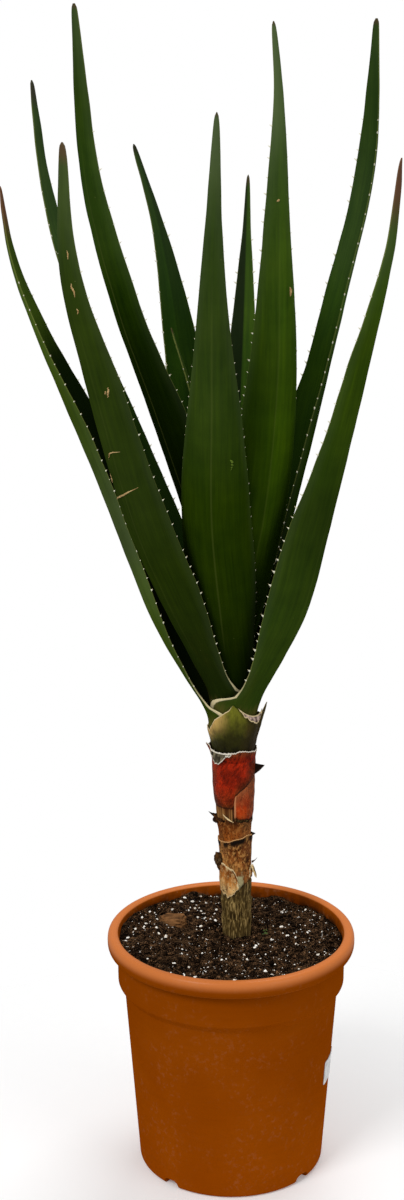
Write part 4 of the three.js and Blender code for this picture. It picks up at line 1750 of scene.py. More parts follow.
class Spine:
    """A centripetal Catmull-Rom curve, run by its length."""

    STEPS = 240

    def __init__(self, points: Sequence[Vector]) -> None:
        """Takes the points that the curve runs through.

        Args:
            points: The points, in order.
        """
        self.points = list(points)
        self.lengths = [0.0]
        last = self._at(0.0)
        for i in range(1, self.STEPS + 1):
            here = self._at(i / self.STEPS)
            self.lengths.append(self.lengths[-1] + (here - last).length)
            last = here

    @property
    def length(self) -> float:
        """Length of the whole curve."""
        return self.lengths[-1]

    def _at(self, t: float) -> Vector:
        """Point at a share of the curve's own parameter.

        Args:
            t: The share.

        Returns:
            The point.
        """
        last = len(self.points) - 1
        i = min(int(last * t), last - 1)
        w = last * t - i
        p1, p2 = self.points[i], self.points[i + 1]
        p0 = self.points[i - 1] if i > 0 else p1 * 2 - p2
        p3 = self.points[i + 2] if i + 2 <= last else p2 * 2 - p1
        d0, d1, d2 = (math.sqrt((b - a).length) for a, b in ((p0, p1), (p1, p2), (p2, p3)))
        m1 = ((p1 - p0) / d0 - (p2 - p0) / (d0 + d1) + (p2 - p1) / d1) * d1
        m2 = ((p2 - p1) / d1 - (p3 - p1) / (d1 + d2) + (p3 - p2) / d2) * d1
        c2 = -3 * p1 + 3 * p2 - 2 * m1 - m2
        c3 = 2 * p1 - 2 * p2 + m1 + m2
        return p1 + m1 * w + c2 * w**2 + c3 * w**3

    def _parameter(self, share: float) -> float:
        """The curve's own parameter at a share of its length.

        Args:
            share: The share.

        Returns:
            The parameter.
        """
        wanted = share * self.length
        low, high = 0, self.STEPS
        while high - low > 1:
            middle = (low + high) // 2
            low, high = (middle, high) if self.lengths[middle] <= wanted else (low, middle)
        step = self.lengths[high] - self.lengths[low]
        return (low + (wanted - self.lengths[low]) / step) / self.STEPS

    def at(self, share: float) -> tuple[Vector, Vector]:
        """Point and direction at a share of the length.

        Args:
            share: The share.

        Returns:
            The point and the direction.
        """
        t = self._parameter(share)
        run = self._at(min(t + 0.0004, 1.0)) - self._at(max(t - 0.0004, 0.0))
        return self._at(t), run.normalized()


@dataclass(frozen=True)
class Section:
    """One cross-section of a leaf, in the rosette's own frame."""

    centre: Vector
    run: Vector
    across: Vector
    inward: Vector
    bend: float
    span: float
    thick: float
    edge: float
    fold: float = 0.0

    def at(self, q: float, lift: float) -> Vector:
        """Point at q from -1 to 1 across the blade, lifted off its middle by so many thicknesses.

        Args:
            q: Place across the blade, from -1 to 1.
            lift: Thicknesses off its middle.

        Returns:
            The point.
        """
        if self.fold:
            straight = self._curved(0.0, lift).lerp(self._curved(math.copysign(1.0, q), lift), abs(q))
            return self._curved(q, lift).lerp(straight, self.fold)
        return self._curved(q, lift)

    def _curved(self, q: float, lift: float) -> Vector:
        """The point on a round channel, with no fold.

        Args:
            q: Place across the blade, from -1 to 1.
            lift: Thicknesses off its middle.

        Returns:
            The point.
        """
        radius = self.bend + lift * (self.edge + (self.thick - self.edge) * (1 - q * q))
        angle = q * self.span
        point = self.centre + self.inward * (self.bend - radius * math.cos(angle))
        return point + self.across * (radius * math.sin(angle))

    def outward(self, side: float) -> Vector:
        """Direction out of the margin on a side."""
        return self.across * (side * math.cos(self.span)) + self.inward * math.sin(self.span)


@dataclass(frozen=True)
class Leaf:
    """One leaf: its place in the rosette, its form, its colouring and the light and shade painted on it."""

    number: int
    side: float
    width: float
    spine: tuple[tuple[float, ...], ...]
    wrap: float | None = None
    slim: float = 1.0
    twist: float = 0.0
    thick: float | None = None
    collar: float = 1.9
    olive: float = 0.4
    light: float = 1.0
    tip: float = 0.02
    midline_highlight: float = 0.25
    margin_light: float = 0.25
    blush: float = 0.12
    fold: float = 0.0
    teeth: float = 1.0
    trim: Pairs = ((0, 1.0), (1, 1.0))
    lit: Pairs = ((0, 1.0), (1, 1.0))
    bloom: Pairs = ((0.5, 0.0), (1, 0.15))
    halves: tuple[float, float] = (1.0, 1.0)
    inner_light: float = 1.0
    tip_color: Color = srgb(76, 62, 44)
    scars: tuple[Scar, ...] = ()
    cork: Grit = Grit("cork", srgb(226, 196, 136), srgb(150, 108, 60), 900.0, 0.8)

    @property
    def name(self) -> str:
        """Name of the leaf's solid."""
        return f"leaf_{self.number:02d}"

    def section(self, blade: Blade, spine: Spine, share: float) -> Section:
        """The leaf's section at a share of its length.

        Args:
            blade: Sizes that all the leaves share.
            spine: The leaf's middle line.
            share: Share of its length.

        Returns:
            The section.
        """
        centre, run = spine.at(share)
        across = (Vector((0, 1, 0)) - run * run.y).normalized()
        across = Matrix.Rotation(math.radians(self.twist) * share**2, 3, run) @ across
        inward = run.cross(across)
        channel = blade.channel * lerp(1, blade.channel_tip, share)
        bend = min(centre.x / max(run.z, 0.5), channel)
        slim = self.slim if share > 0.3 else 1.0
        half = self.width / 2 * eased(blade.outline, share) ** slim * eased(self.trim, share)
        span = min(half / bend, self.wrap or blade.wrap)
        collar = self.collar * (1 - smoothstep(share, 0.0, 0.075))
        span = max(span, collar)
        thick = (self.thick or blade.thick) * eased(blade.flesh, share)
        edge = min(lerp(blade.edge, blade.edge_tip, share), thick)
        fold = self.fold * smoothstep(share, 0.08, 0.3)
        return Section(centre, run, across, inward, bend, span, thick, edge, fold)

    def build(self, blade: Blade, teeth: MarginTeeth, crown: Vector) -> None:
        """Makes the leaf with its teeth, and its scars as a thin piece on its face.

        Args:
            blade: Sizes that all the leaves share.
            teeth: Sizes of the teeth.
            crown: Where the stem's middle meets the leaves.
        """
        spine = Spine([Vector((p[0], p[2] if len(p) > 2 else 0.0, p[1])) for p in self.spine])
        place = Matrix.Translation((crown.x, crown.y, 0)) @ Matrix.Rotation(math.radians(self.side), 4, "Z")
        draft = MeshDraft()
        self._add_blade(draft, blade, spine)
        self._add_teeth(draft, blade, teeth, spine)
        skin = LeafSkin(
            self.name + "_skin", olive=self.olive, light=self.light, tip=self.tip, midline_highlight=self.midline_highlight,
            margin_light=self.margin_light, blush=self.blush, minus=self.halves[0], plus=self.halves[1],
            inner_light=self.inner_light, brown=self.tip_color,
        )
        piece = draft.build(self.name + "_skin", [skin.material()])
        piece.data.transform(place)
        mount(piece, "leaf", self.name)
        if self.scars:
            marks = self._scar_mesh(blade, spine)
            marks.data.transform(place)
            mount(marks, "leaf")

    def _add_blade(self, draft: MeshDraft, blade: Blade, spine: Spine) -> None:
        """Adds the fleshy blade.

        Args:
            draft: The mesh that it goes into.
            blade: Sizes that all the leaves share.
            spine: The leaf's middle line.
        """
        rings: list[list[Vector]] = []
        names = ("across", "along", "share", "margin", "inner", "tooth", "lit", "bloom")
        values: dict[str, list[Sequence[float]]] = {name: [] for name in names}
        spread = [math.sin(math.pi / 2 * (2 * j / (blade.columns - 1) - 1)) for j in range(blade.columns)]
        for i in range(blade.stations + 1):
            t = i / blade.stations
            share = 0.5 * t**1.35 + 0.5 * (1 - (1 - t) ** 1.35)
            section = self.section(blade, spine, share)
            half = section.span * section.bend
            wave = 0.00035 * noise.noise(Vector((share * spine.length / 0.03, self.number, 0)))
            spots = [(q, 0.6, 0.0) for q in spread] + [(q, -0.4, 1.0) for q in reversed(spread)]
            ring = []
            for q, lift, _ in spots:
                point = section.at(q, lift)
                round_off = 1.0 - smoothstep(1 - abs(q), 0.0, 0.012)
                flat = section.at(q, 0.1)
                point = point.lerp(flat, 0.55 * round_off)
                dent = 0.00035 * noise.noise(Vector((q * half, share * spine.length, self.number)) / 0.021)
                point += section.inward * dent
                ring.append(point + section.outward(math.copysign(1, q)) * wave * abs(q) ** 4)
            rings.append(ring)
            far, lit, bloom = share * spine.length, eased(self.lit, share), eased(self.bloom, share)
            rows = [(q * half, far, share, (1 - abs(q)) * half, side, 0.0, lit, bloom) for q, _, side in spots]
            for name, row in zip(names, zip(*rows)):
                values[name].append(row)
        draft.loft(rings, values)

    def _add_teeth(self, draft: MeshDraft, blade: Blade, teeth: MarginTeeth, spine: Spine) -> None:
        """Adds the margin teeth, each a small hooked cone.

        Args:
            draft: The mesh that it goes into.
            blade: Sizes that all the leaves share.
            teeth: Sizes of the teeth.
            spine: The leaf's middle line.
        """
        draw = random.Random(self.number * 17)
        for side in (-1, 1):
            s = teeth.first * spine.length
            while s < teeth.last * spine.length:
                share = s / spine.length
                section = self.section(blade, spine, share)
                size = self.teeth * draw.uniform(0.5, 1.2) * lerp(1.0, 0.72, share)
                self._add_tooth(draft, section, teeth, side, size, (s, share))
                s += teeth.spacing * draw.uniform(0.65, 1.4) * lerp(0.9, 1.25, share)

    @staticmethod
    def _add_tooth(
        draft: MeshDraft, section: Section, teeth: MarginTeeth, side: int, size: float,
        spot: tuple[float, float],
    ) -> None:
        """Adds one tooth.

        Args:
            draft: The mesh that it goes into.
            section: The leaf's section there.
            teeth: Sizes of the teeth.
            side: Which margin, -1 or 1.
            size: Its own size, round 1.
            spot: Its distance and its share along the leaf.
        """
        out = section.outward(side)
        face = out.cross(section.run).normalized()
        root = section.at(side, 0.1) - out * teeth.sunk
        length = teeth.length * size + teeth.sunk
        rings, tips = [], []
        turns = [2 * math.pi * n / teeth.sides for n in range(teeth.sides)]
        for k in range(teeth.rings):
            t = k / (teeth.rings - 1)
            middle = root + out * (length * t) + section.run * (teeth.hook * teeth.length * size * t**2)
            width = teeth.root / 2 * size * (1 - t) ** 1.25 + 0.00006
            depth = teeth.thick / 2 * (1 - t) ** 0.9 + 0.00005
            wide, deep = section.run * width, face * depth
            rings.append([middle + wide * math.cos(a) + deep * math.sin(a) for a in turns])
            tips.append([clamp(t * 1.15 - 0.02)] * teeth.sides)
        values = {"tooth": tips, "share": spot[1], "along": spot[0], "lit": 1.0}
        draft.loft(rings, values | dict.fromkeys(("margin", "across", "inner", "bloom"), 0.0))

    def _scar_mesh(self, blade: Blade, spine: Spine) -> bpy.types.Object:
        """Raised corky ribbons over the outer face.

        Args:
            blade: Sizes that all the leaves share.
            spine: The leaf's middle line.

        Returns:
            The piece.
        """
        draft = MeshDraft()
        for number, scar in enumerate(self.scars):
            path = []
            for (s0, q0), (s1, q1) in zip(scar.path, scar.path[1:]):
                for k in range(9):
                    share, q = lerp(s0, s1, k / 9), lerp(q0, q1, k / 9)
                    wobble = noise.noise(Vector((share * 400, q * 9, number)))
                    path.append(self.section(blade, spine, share).at(q + 0.03 * wobble, 0.6))
            radii = [
                scar.width / 2 * math.sin(math.pi * (0.06 + 0.88 * k / (len(path) - 1)))
                * (0.75 + 0.5 * noise.noise(Vector((k * 0.9, number, 3))))
                for k in range(len(path))
            ]
            draft.loft(tube(path, radii, 8))
        return draft.build(self.name + "_scars", [self.cork.material()])


@dataclass
class Studio:
    """Pale floor, soft lights and the camera at the photograph's angle."""

    camera_place: tuple[float, float, float] = (0.0, -1.793, 1.062)
    pitch: float = 15.3
    yaw: float = 0.828
    lens: float = 60.0
    floor_reach: float = 9.0
    sky: float = 0.42

    def build(self) -> None:
        """Makes the floor, the lights, the world and the camera."""
        self._floor()
        self._world()
        self._light("key", (-1.7, -2.1, 2.9), 1.3, 58.0)
        self._light("fill", (2.3, -1.8, 1.4), 1.8, 18.0)
        self._light("top", (0.5, 1.2, 3.2), 1.5, 30.0)
        self._camera()
        bpy.context.scene.view_settings.view_transform = "Standard"

    def _floor(self) -> None:
        """A round pale floor that fades into the world round it."""
        draft = MeshDraft()
        rows = [[around(r, 5 * j, -0.0002) for j in range(72)] for r in (0.001, 0.5, 2.0, self.floor_reach)]
        draft.loft(rows, capped=False)
        g = Graph("floor")
        x, y, _ = g.axes(g.place())
        far = (x * x + y * y) ** 0.5
        white = (0.97, 0.97, 0.97, 1.0)
        inputs = {"Base Color": white, "Roughness": 0.8, "Emission Color": white, "Emission Strength": 0.14}
        paint = g.node("ShaderNodeBsdfPrincipled", inputs=inputs)
        clear = g.node("ShaderNodeBsdfTransparent")
        shaders = {0: far.rise(0.12, 0.6), 1: g.wire(paint), 2: g.wire(clear)}
        blend = g.node("ShaderNodeMixShader", inputs=shaders)
        g.node("ShaderNodeOutputMaterial", inputs={"Surface": g.wire(blend)})
        floor = draft.build("floor", [g.material])

    def _world(self) -> None:
        """White where it is seen, and dimmer as a light, so that the lamps model the leaves."""
        world = bpy.data.worlds.new("studio")
        world.use_nodes = True
        nodes, links = world.node_tree.nodes, world.node_tree.links
        seen = nodes.new("ShaderNodeLightPath")
        strength = nodes.new("ShaderNodeMapRange")
        strength.inputs["To Min"].default_value = self.sky
        strength.inputs["To Max"].default_value = 1.0
        links.new(seen.outputs["Is Camera Ray"], strength.inputs["Value"])
        background = nodes["Background"]
        background.inputs["Color"].default_value = (1.0, 1.0, 1.0, 1.0)
        links.new(strength.outputs[0], background.inputs["Strength"])
        bpy.context.scene.world = world

    def _light(self, name: str, place: tuple[float, float, float], size: float, power: float) -> None:
        """A square softbox aimed at the middle of the plant.

        Args:
            name: Its name.
            place: Its place.
            size: Its side's length.
            power: Its power in watts.
        """
        lamp = bpy.data.lights.new(name, "AREA")
        lamp.size = size
        lamp.energy = power
        softbox = bpy.data.objects.new(name, lamp)
        softbox.location = place
        aim = Vector((0, 0, 0.5)) - Vector(place)
        softbox.rotation_euler = aim.to_track_quat("-Z", "Y").to_euler()
        bpy.context.scene.collection.objects.link(softbox)

    def _camera(self) -> None:
        """The camera, turned a little left so that the pot stands right of the middle."""
        lens = bpy.data.cameras.new("camera")
        lens.lens = self.lens
        lens.sensor_width = 36.0
        camera = bpy.data.objects.new("camera", lens)
        tilt = Matrix.Rotation(math.radians(90 - self.pitch), 4, "X")
        turn = Matrix.Rotation(math.radians(self.yaw), 4, "Y")
        camera.matrix_world = Matrix.Translation(self.camera_place) @ tilt @ turn
        bpy.context.scene.collection.objects.link(camera)
        bpy.context.scene.camera = camera


def leaves() -> list[Leaf]:
    """The twelve leaves, outermost first, each spine as reach, height and sway.

    Returns:
        The leaves.
    """
    scratches = (
        Scar(((0.51, -0.25), (0.522, -0.12), (0.526, 0.05), (0.527, 0.35)), 0.0015),
        Scar(((0.42, -0.95), (0.44, -0.4), (0.452, 0.0), (0.458, 0.2), (0.465, 0.55)), 0.0021),
        Scar(((0.462, -0.6), (0.47, -0.45), (0.482, -0.5)), 0.0015),
        Scar(((0.617, 0.42), (0.626, 0.48), (0.634, 0.55)), 0.0024),
        Scar(((0.622, 0.36), (0.629, 0.42)), 0.0016),
        Scar(((0.834, 0.3), (0.842, 0.35), (0.848, 0.3)), 0.0016),
        Scar(((0.778, 0.3), (0.787, 0.34), (0.794, 0.22), (0.8, 0.28)), 0.0022),
        Scar(((0.752, 0.2), (0.757, 0.3), (0.762, 0.24)), 0.0018),
    )
    nicks = (
        Scar(((0.62, 0.56), (0.628, 0.62), (0.634, 0.58)), 0.0036),
        Scar(((0.755, -0.2), (0.758, 0.05)), 0.0026),
    )
    return [
        Leaf(1, 170, 0.064, (
            (0.0218, 0.446), (0.023, 0.457), (0.029, 0.472), (0.047, 0.503), (0.069, 0.544), (0.125, 0.685),
            (0.182, 0.819), (0.204, 0.884), (0.213, 0.947),
        ), olive=0.9, light=1.25, tip=0.07, midline_highlight=0.1, margin_light=0.3, inner_light=0.1,
            trim=((0.4, 1.0), (0.5, 1.2), (0.6, 1.45), (0.85, 1.5), (0.93, 1.1), (1, 1.0)),
            lit=((0.1, 1.0), (0.27, 1.2), (0.36, 0.6), (0.46, 0.65), (0.6, 0.75), (0.75, 1.0), (1, 0.9)),
            bloom=((0.1, 0.03), (0.19, 0.05), (0.27, 0.15), (0.4, 0.2), (0.55, 0.09), (0.65, 0.05),
                   (0.8, 0.07), (1, 0.12)),
            tip_color=srgb(112, 70, 54)),
        Leaf(2, 322, 0.070, (
            (0.0213, 0.458), (0.0234, 0.468), (0.029, 0.483), (0.0505, 0.523), (0.074, 0.571), (0.100, 0.655),
            (0.138, 0.786), (0.168, 0.905), (0.176, 0.978),
        ), wrap=1.8, twist=25, collar=2.2, olive=0.55, light=1.04, tip=0.08, midline_highlight=0.05, margin_light=0.45,
            teeth=1.1,
            trim=((0.1, 1.0), (0.2, 1.08), (0.36, 1.03), (0.46, 0.97), (0.55, 1.0), (0.64, 1.18), (0.7, 1.32),
                  (0.78, 1.42), (0.9, 1.5), (1, 1.7)),
            lit=((0.1, 1.3), (0.2, 1.2), (0.3, 0.9), (0.42, 0.64), (0.5, 0.85), (0.6, 0.95), (0.72, 1.05),
                 (0.8, 1.4), (0.88, 1.5), (0.94, 1.1), (1, 1.0)),
            bloom=((0.2, 0.04), (0.4, 0.03), (0.7, 0.02), (0.8, 0.06), (0.86, 0.16), (1, 0.12)),
            tip_color=srgb(112, 70, 58)),
        Leaf(3, 226, 0.068, (
            (0.020, 0.466), (0.0212, 0.475), (0.025, 0.488), (0.078, 0.583), (0.119, 0.661), (0.170, 0.802),
            (0.196, 0.890), (0.199, 0.993),
        ), slim=0.95, twist=12, olive=0.75, light=0.75, tip=0.025, midline_highlight=0.05, blush=0.3, teeth=0.8,
            scars=scratches,
            trim=((0.35, 0.95), (0.45, 0.96), (0.58, 1.1), (0.65, 1.2), (0.82, 1.25), (0.88, 1.1),
                  (0.93, 1.0), (1, 1.0)),
            lit=((0.1, 0.65), (0.3, 0.78), (0.45, 0.7), (0.6, 0.74), (0.7, 0.8), (0.8, 0.85), (0.9, 0.95),
                 (1, 0.9)),
            bloom=((0.3, 0.02), (0.5, 0.04), (0.7, 0.04), (0.8, 0.05), (0.87, 0.1), (1, 0.14)),
            tip_color=srgb(92, 70, 52)),
        Leaf(4, 261, 0.078, (
            (0.019, 0.475), (0.021, 0.484), (0.0256, 0.499), (0.054, 0.570, -0.002), (0.096, 0.668, -0.003),
            (0.137, 0.780, 0.004), (0.165, 0.890, 0.009), (0.172, 1.017, 0.014),
        ), olive=0.55, light=0.93, tip=0.006, midline_highlight=0.12, teeth=0.6,
            trim=((0.42, 1.0), (0.55, 0.95), (0.65, 0.88), (0.8, 0.84), (0.88, 0.76), (0.93, 0.74),
                  (0.97, 0.64), (1, 0.6)),
            lit=((0.1, 0.45), (0.2, 0.74), (0.4, 0.82), (0.6, 0.86), (0.68, 0.78), (0.8, 0.85), (1, 0.85)),
            bloom=((0.4, 0.0), (0.5, 0.03), (0.6, 0.05), (0.8, 0.07), (0.88, 0.12), (0.95, 0.24), (1, 0.26)),
            scars=(Scar(((0.46, 0.46), (0.474, 0.5), (0.48, 0.46)), 0.003),),
            cork=Grit("pale_spot", srgb(120, 146, 50), srgb(66, 84, 20), 900.0, 0.6)),
        Leaf(5, 142, 0.062, (
            (0.0178, 0.484), (0.0198, 0.493), (0.025, 0.508), (0.058, 0.580, 0.001), (0.121, 0.715, 0.005),
            (0.190, 0.842, 0.002), (0.226, 0.940), (0.241, 1.038),
        ), olive=0.25, light=1.12, tip=0.035, margin_light=0.3,
            trim=((0.12, 1.0), (0.22, 0.8), (0.32, 0.64), (0.45, 0.56), (0.58, 0.6), (0.68, 0.78),
                  (0.76, 1.0)),
            lit=((0.3, 0.6), (0.6, 0.7), (0.75, 1.2), (1, 1.1)),
            bloom=((0.55, 0.02), (0.75, 0.15), (0.85, 0.18), (1, 0.2)), tip_color=srgb(62, 56, 50)),
        Leaf(6, 20, 0.060, (
            (0.0168, 0.492), (0.0185, 0.501), (0.0225, 0.516), (0.038, 0.595), (0.072, 0.724), (0.104, 0.849),
            (0.130, 0.960), (0.135, 1.091),
        ), slim=0.76, twist=18, olive=0.3, light=1.25, tip=0.008, margin_light=0.2, teeth=1.2,
            trim=((0.3, 1.0), (0.42, 0.92), (0.5, 0.82), (0.56, 0.87), (0.63, 0.95), (0.7, 1.04), (0.76, 1.2),
                  (0.81, 1.32), (0.89, 1.2), (0.93, 1.0), (0.97, 0.82), (1, 0.8)),
            lit=((0.3, 0.5), (0.45, 0.58), (0.53, 0.72), (0.6, 1.15), (0.68, 1.1), (0.75, 1.0), (0.85, 0.85),
                 (1, 0.8)),
            bloom=((0.5, 0.0), (0.6, 0.05), (0.66, 0.12), (0.75, 0.13), (0.87, 0.07), (1, 0.14))),
        Leaf(7, 118, 0.066, (
            (0.0157, 0.500), (0.0174, 0.510), (0.021, 0.526), (0.042, 0.600), (0.072, 0.700, 0.005),
            (0.091, 0.800, 0.010), (0.112, 0.900, 0.018), (0.130, 0.981, 0.035),
        ), olive=0.15, light=1.25, tip=0.015, margin_light=0.3, fold=0.4, teeth=1.1, halves=(0.62, 1.0),
            trim=((0.6, 1.0), (0.72, 1.06), (0.79, 1.0), (0.83, 0.9), (0.9, 0.77), (1, 0.7)),
            lit=((0.6, 0.95), (0.75, 0.9), (1, 0.8)),
            bloom=((0.65, 0.01), (0.75, 0.06), (0.82, 0.09), (1, 0.15)),
            tip_color=srgb(48, 44, 34)),
        Leaf(8, 290, 0.064, (
            (0.0146, 0.509), (0.0164, 0.519), (0.0205, 0.535), (0.044, 0.600), (0.078, 0.690, 0.002),
            (0.100, 0.800, 0.003), (0.109, 0.930, 0.0), (0.106, 1.030, 0.001), (0.096, 1.087, 0.0),
        ), slim=1.02, olive=0.5, light=1.18, tip=0.006, midline_highlight=0.08, scars=nicks, halves=(0.97, 1.25),
            trim=((0.82, 1.0), (0.87, 0.88), (0.93, 0.72), (1, 0.72)),
            lit=((0.2, 0.8), (0.3, 0.88), (0.42, 1.0), (0.5, 0.85), (0.6, 0.98), (0.75, 1.0), (0.9, 0.85),
                 (1, 0.8)),
            bloom=((0.4, 0.0), (0.6, 0.03), (0.72, 0.06), (0.8, 0.13), (0.86, 0.25), (1, 0.27))),
        Leaf(9, 222, 0.060, (
            (0.0132, 0.520), (0.0146, 0.530), (0.018, 0.548), (0.040, 0.640), (0.084, 0.750), (0.131, 0.858),
            (0.162, 0.962), (0.173, 1.101),
        ), slim=0.68, olive=0.4, light=1.0, tip=0.006,
            trim=((0.4, 0.92), (0.53, 0.87), (0.58, 0.91), (0.64, 0.97), (0.7, 1.0), (0.86, 1.0), (0.9, 0.93),
                  (0.96, 0.7), (1, 0.65)),
            lit=((0.3, 0.35), (0.42, 0.38), (0.5, 0.45), (0.57, 0.72), (0.64, 1.0), (0.72, 1.2), (0.8, 0.95),
                 (0.9, 0.7), (1, 0.8)),
            bloom=((0.6, 0.0), (0.7, 0.05), (0.87, 0.03), (0.95, 0.09), (1, 0.12))),
        Leaf(10, 52, 0.044, (
            (0.0119, 0.530), (0.0134, 0.541), (0.018, 0.560), (0.034, 0.640), (0.054, 0.730), (0.070, 0.800),
            (0.078, 0.850),
        ), collar=0.0, olive=0.2, light=0.9, fold=0.7),
        Leaf(11, 80, 0.046, (
            (0.0105, 0.541), (0.0118, 0.552), (0.015, 0.572), (0.024, 0.650), (0.040, 0.740), (0.060, 0.830),
            (0.080, 0.954),
        ), collar=0.0, olive=0.35, light=1.2, fold=0.95, teeth=1.1, halves=(1.6, 0.16),
            trim=((0.6, 1.0), (0.76, 1.1), (0.82, 1.05), (0.9, 0.84), (1, 0.75)),
            bloom=((0.4, 0.03), (1, 0.12))),
        Leaf(12, 165, 0.026, (
            (0.0089, 0.552), (0.0092, 0.562), (0.0102, 0.580), (0.015, 0.650), (0.034, 0.745), (0.058, 0.822),
        ), thick=0.005, wrap=1.0, collar=0.0, olive=0.6, light=1.3, fold=0.5, margin_light=0.6),
    ]


def upper_sheaths() -> list[DriedSheath]:
    """The sheaths from the leaves down to the orange one.

    Returns:
        The sheaths.
    """
    umber = srgb(52, 30, 14)
    olive = DrySkin(
        "sheath_olive_skin", srgb(18, 15, 5), srgb(52, 52, 12), srgb(116, 116, 34), srgb(44, 40, 12),
        srgb(226, 204, 156),
        (
            Tint(srgb(206, 166, 98), 0.001, -0.014, 0.95, 0.7),
            # Painted shade: darker on the right side.
            Tint(srgb(50, 36, 12), 0.006, 0.021, 0.9),
        ),
        srgb(228, 196, 182), streaks=0.35, roughness=0.5,
    )
    red = srgb(186, 44, 12)
    papery = DrySkin(
        "sheath_papery_skin", srgb(164, 34, 6), srgb(150, 40, 10), srgb(140, 70, 34), srgb(60, 14, 5),
        srgb(246, 238, 220), paper=srgb(150, 142, 112), texture=Texture.PEBBLED, lean=0.5, roughness=0.55,
    )
    deep_red = DrySkin(
        "sheath_red_skin", srgb(120, 56, 20), red, red, srgb(66, 14, 4), srgb(120, 66, 32),
        # The second tint, darker on the right side, is painted shade.
        (Tint(srgb(116, 58, 24), -0.011, -0.0185, 0.75), Tint(srgb(96, 44, 20), 0.013, 0.0205, 0.85)),
        texture=Texture.PEBBLED, lean=0.5, streaks=0.5, patchy=0.5, roughness=0.5,
    )
    orange = DrySkin(
        "sheath_orange_skin", srgb(184, 70, 20), srgb(182, 60, 16), srgb(168, 96, 56), srgb(104, 34, 10),
        # The tint, darker on the right side, is painted shade.
        srgb(204, 134, 88), (Tint(srgb(112, 60, 30), 0.014, 0.0205, 0.85),), srgb(206, 104, 52),
        streaks=0.6, pale=0.4, pores=0.6, roughness=0.5,
    )
    fluted = DrySkin(
        "sheath_fluted_skin", srgb(56, 38, 18), srgb(112, 66, 28), srgb(112, 48, 18), srgb(44, 26, 10), umber,
        paper=srgb(178, 128, 72), roughness=0.75,
    )
    return [
        DriedSheath(
            "sheath_olive_skin", "sheath_green", olive, 96, 450, ((0, 0.423), (360, 0.423)),
            ((0, 0.459), (110, 0.455), (135, 0.447), (206, 0.447), (230, 0.460), (262, 0.472), (270, 0.477),
             (284, 0.469), (300, 0.4625), (320, 0.459), (360, 0.459)),
            ((0.422, 0.0187), (0.436, 0.021), (0.449, 0.0246), (0.480, 0.0278)), 0.0012, ("sheath_olive",),
            rag_high=0.0008, char_low=0.7,
            lip=((0, 0.5), (200, 1.0), (262, 0.9), (272, 0.2), (290, 0.3), (360, 0.6)),
            flaps=(Flap(349, 26, 0.005, 0.014),),
            scraps=(Scrap(280, 346, 0.4700, 0.0078, 0.0016, 0.6, -0.007, 0.9, 0.9, 0.006),),
        ),
        DriedSheath(
            "sheath_papery_skin", "sheath_dry", papery, 106, 448,
            ((0, 0.413), (225, 0.413), (245, 0.416), (360, 0.413)),
            ((0, 0.426), (190, 0.430), (206, 0.4265), (243, 0.4265), (270, 0.4275), (295, 0.429),
             (334, 0.4255), (360, 0.426)),
            ((0.412, 0.0196), (0.420, 0.0206), (0.424, 0.0211), (0.436, 0.0235), (0.444, 0.025)), 0.0008,
            ("sheath_papery",), rag_high=0.0011, curl=0.0007, flaps=(Flap(186, 16, 0.003, 0.002),),
            scraps=(Scrap(193, 266, 0.4264, 0.0115, 0.0024, 0.46, 0.0, 0.9, 0.9),),
        ),
        DriedSheath(
            "sheath_red_skin", "sheath_red", deep_red, 94, 436,
            ((0, 0.403), (84, 0.391), (110, 0.368), (262, 0.369), (268, 0.372), (273, 0.383), (287, 0.387),
             (315, 0.3935), (340, 0.399), (360, 0.403)),
            ((0, 0.4200), (360, 0.4200)), ((0.366, 0.0173), (0.388, 0.0191), (0.416, 0.0196)), 0.0013,
            ("sheath_red",), rag_low=0.0005, lip=((0, 0.0), (360, 0.0)), char_low=0.8,
            thorns=(Thorn(352, 0.405, 0.0105, 0.0125, 0.004),),
        ),
        DriedSheath(
            "sheath_orange_skin", "sheath_red", orange, 269, 452,
            ((0, 0.357), (269, 0.3585), (328, 0.3555), (360, 0.357)),
            ((0, 0.405), (269, 0.384), (287, 0.390), (315, 0.3965), (360, 0.405)),
            ((0.354, 0.0164), (0.390, 0.0187), (0.406, 0.0188)), 0.0011, ("sheath_orange",), char_low=0.9,
            lip=((0, 0.0), (269, 0.9), (325, 0.8), (345, 0.0)), lip_width=0.0024,
        ),
        DriedSheath(
            "fluted_remnant", "sheath_brown", fluted, 100, 276, ((112, 0.355), (276, 0.355)),
            ((112, 0.371), (276, 0.374)), ((0.354, 0.0158), (0.374, 0.0168)), 0.0006, flutes=0.0011,
            char_low=0.95,
        ),
    ]


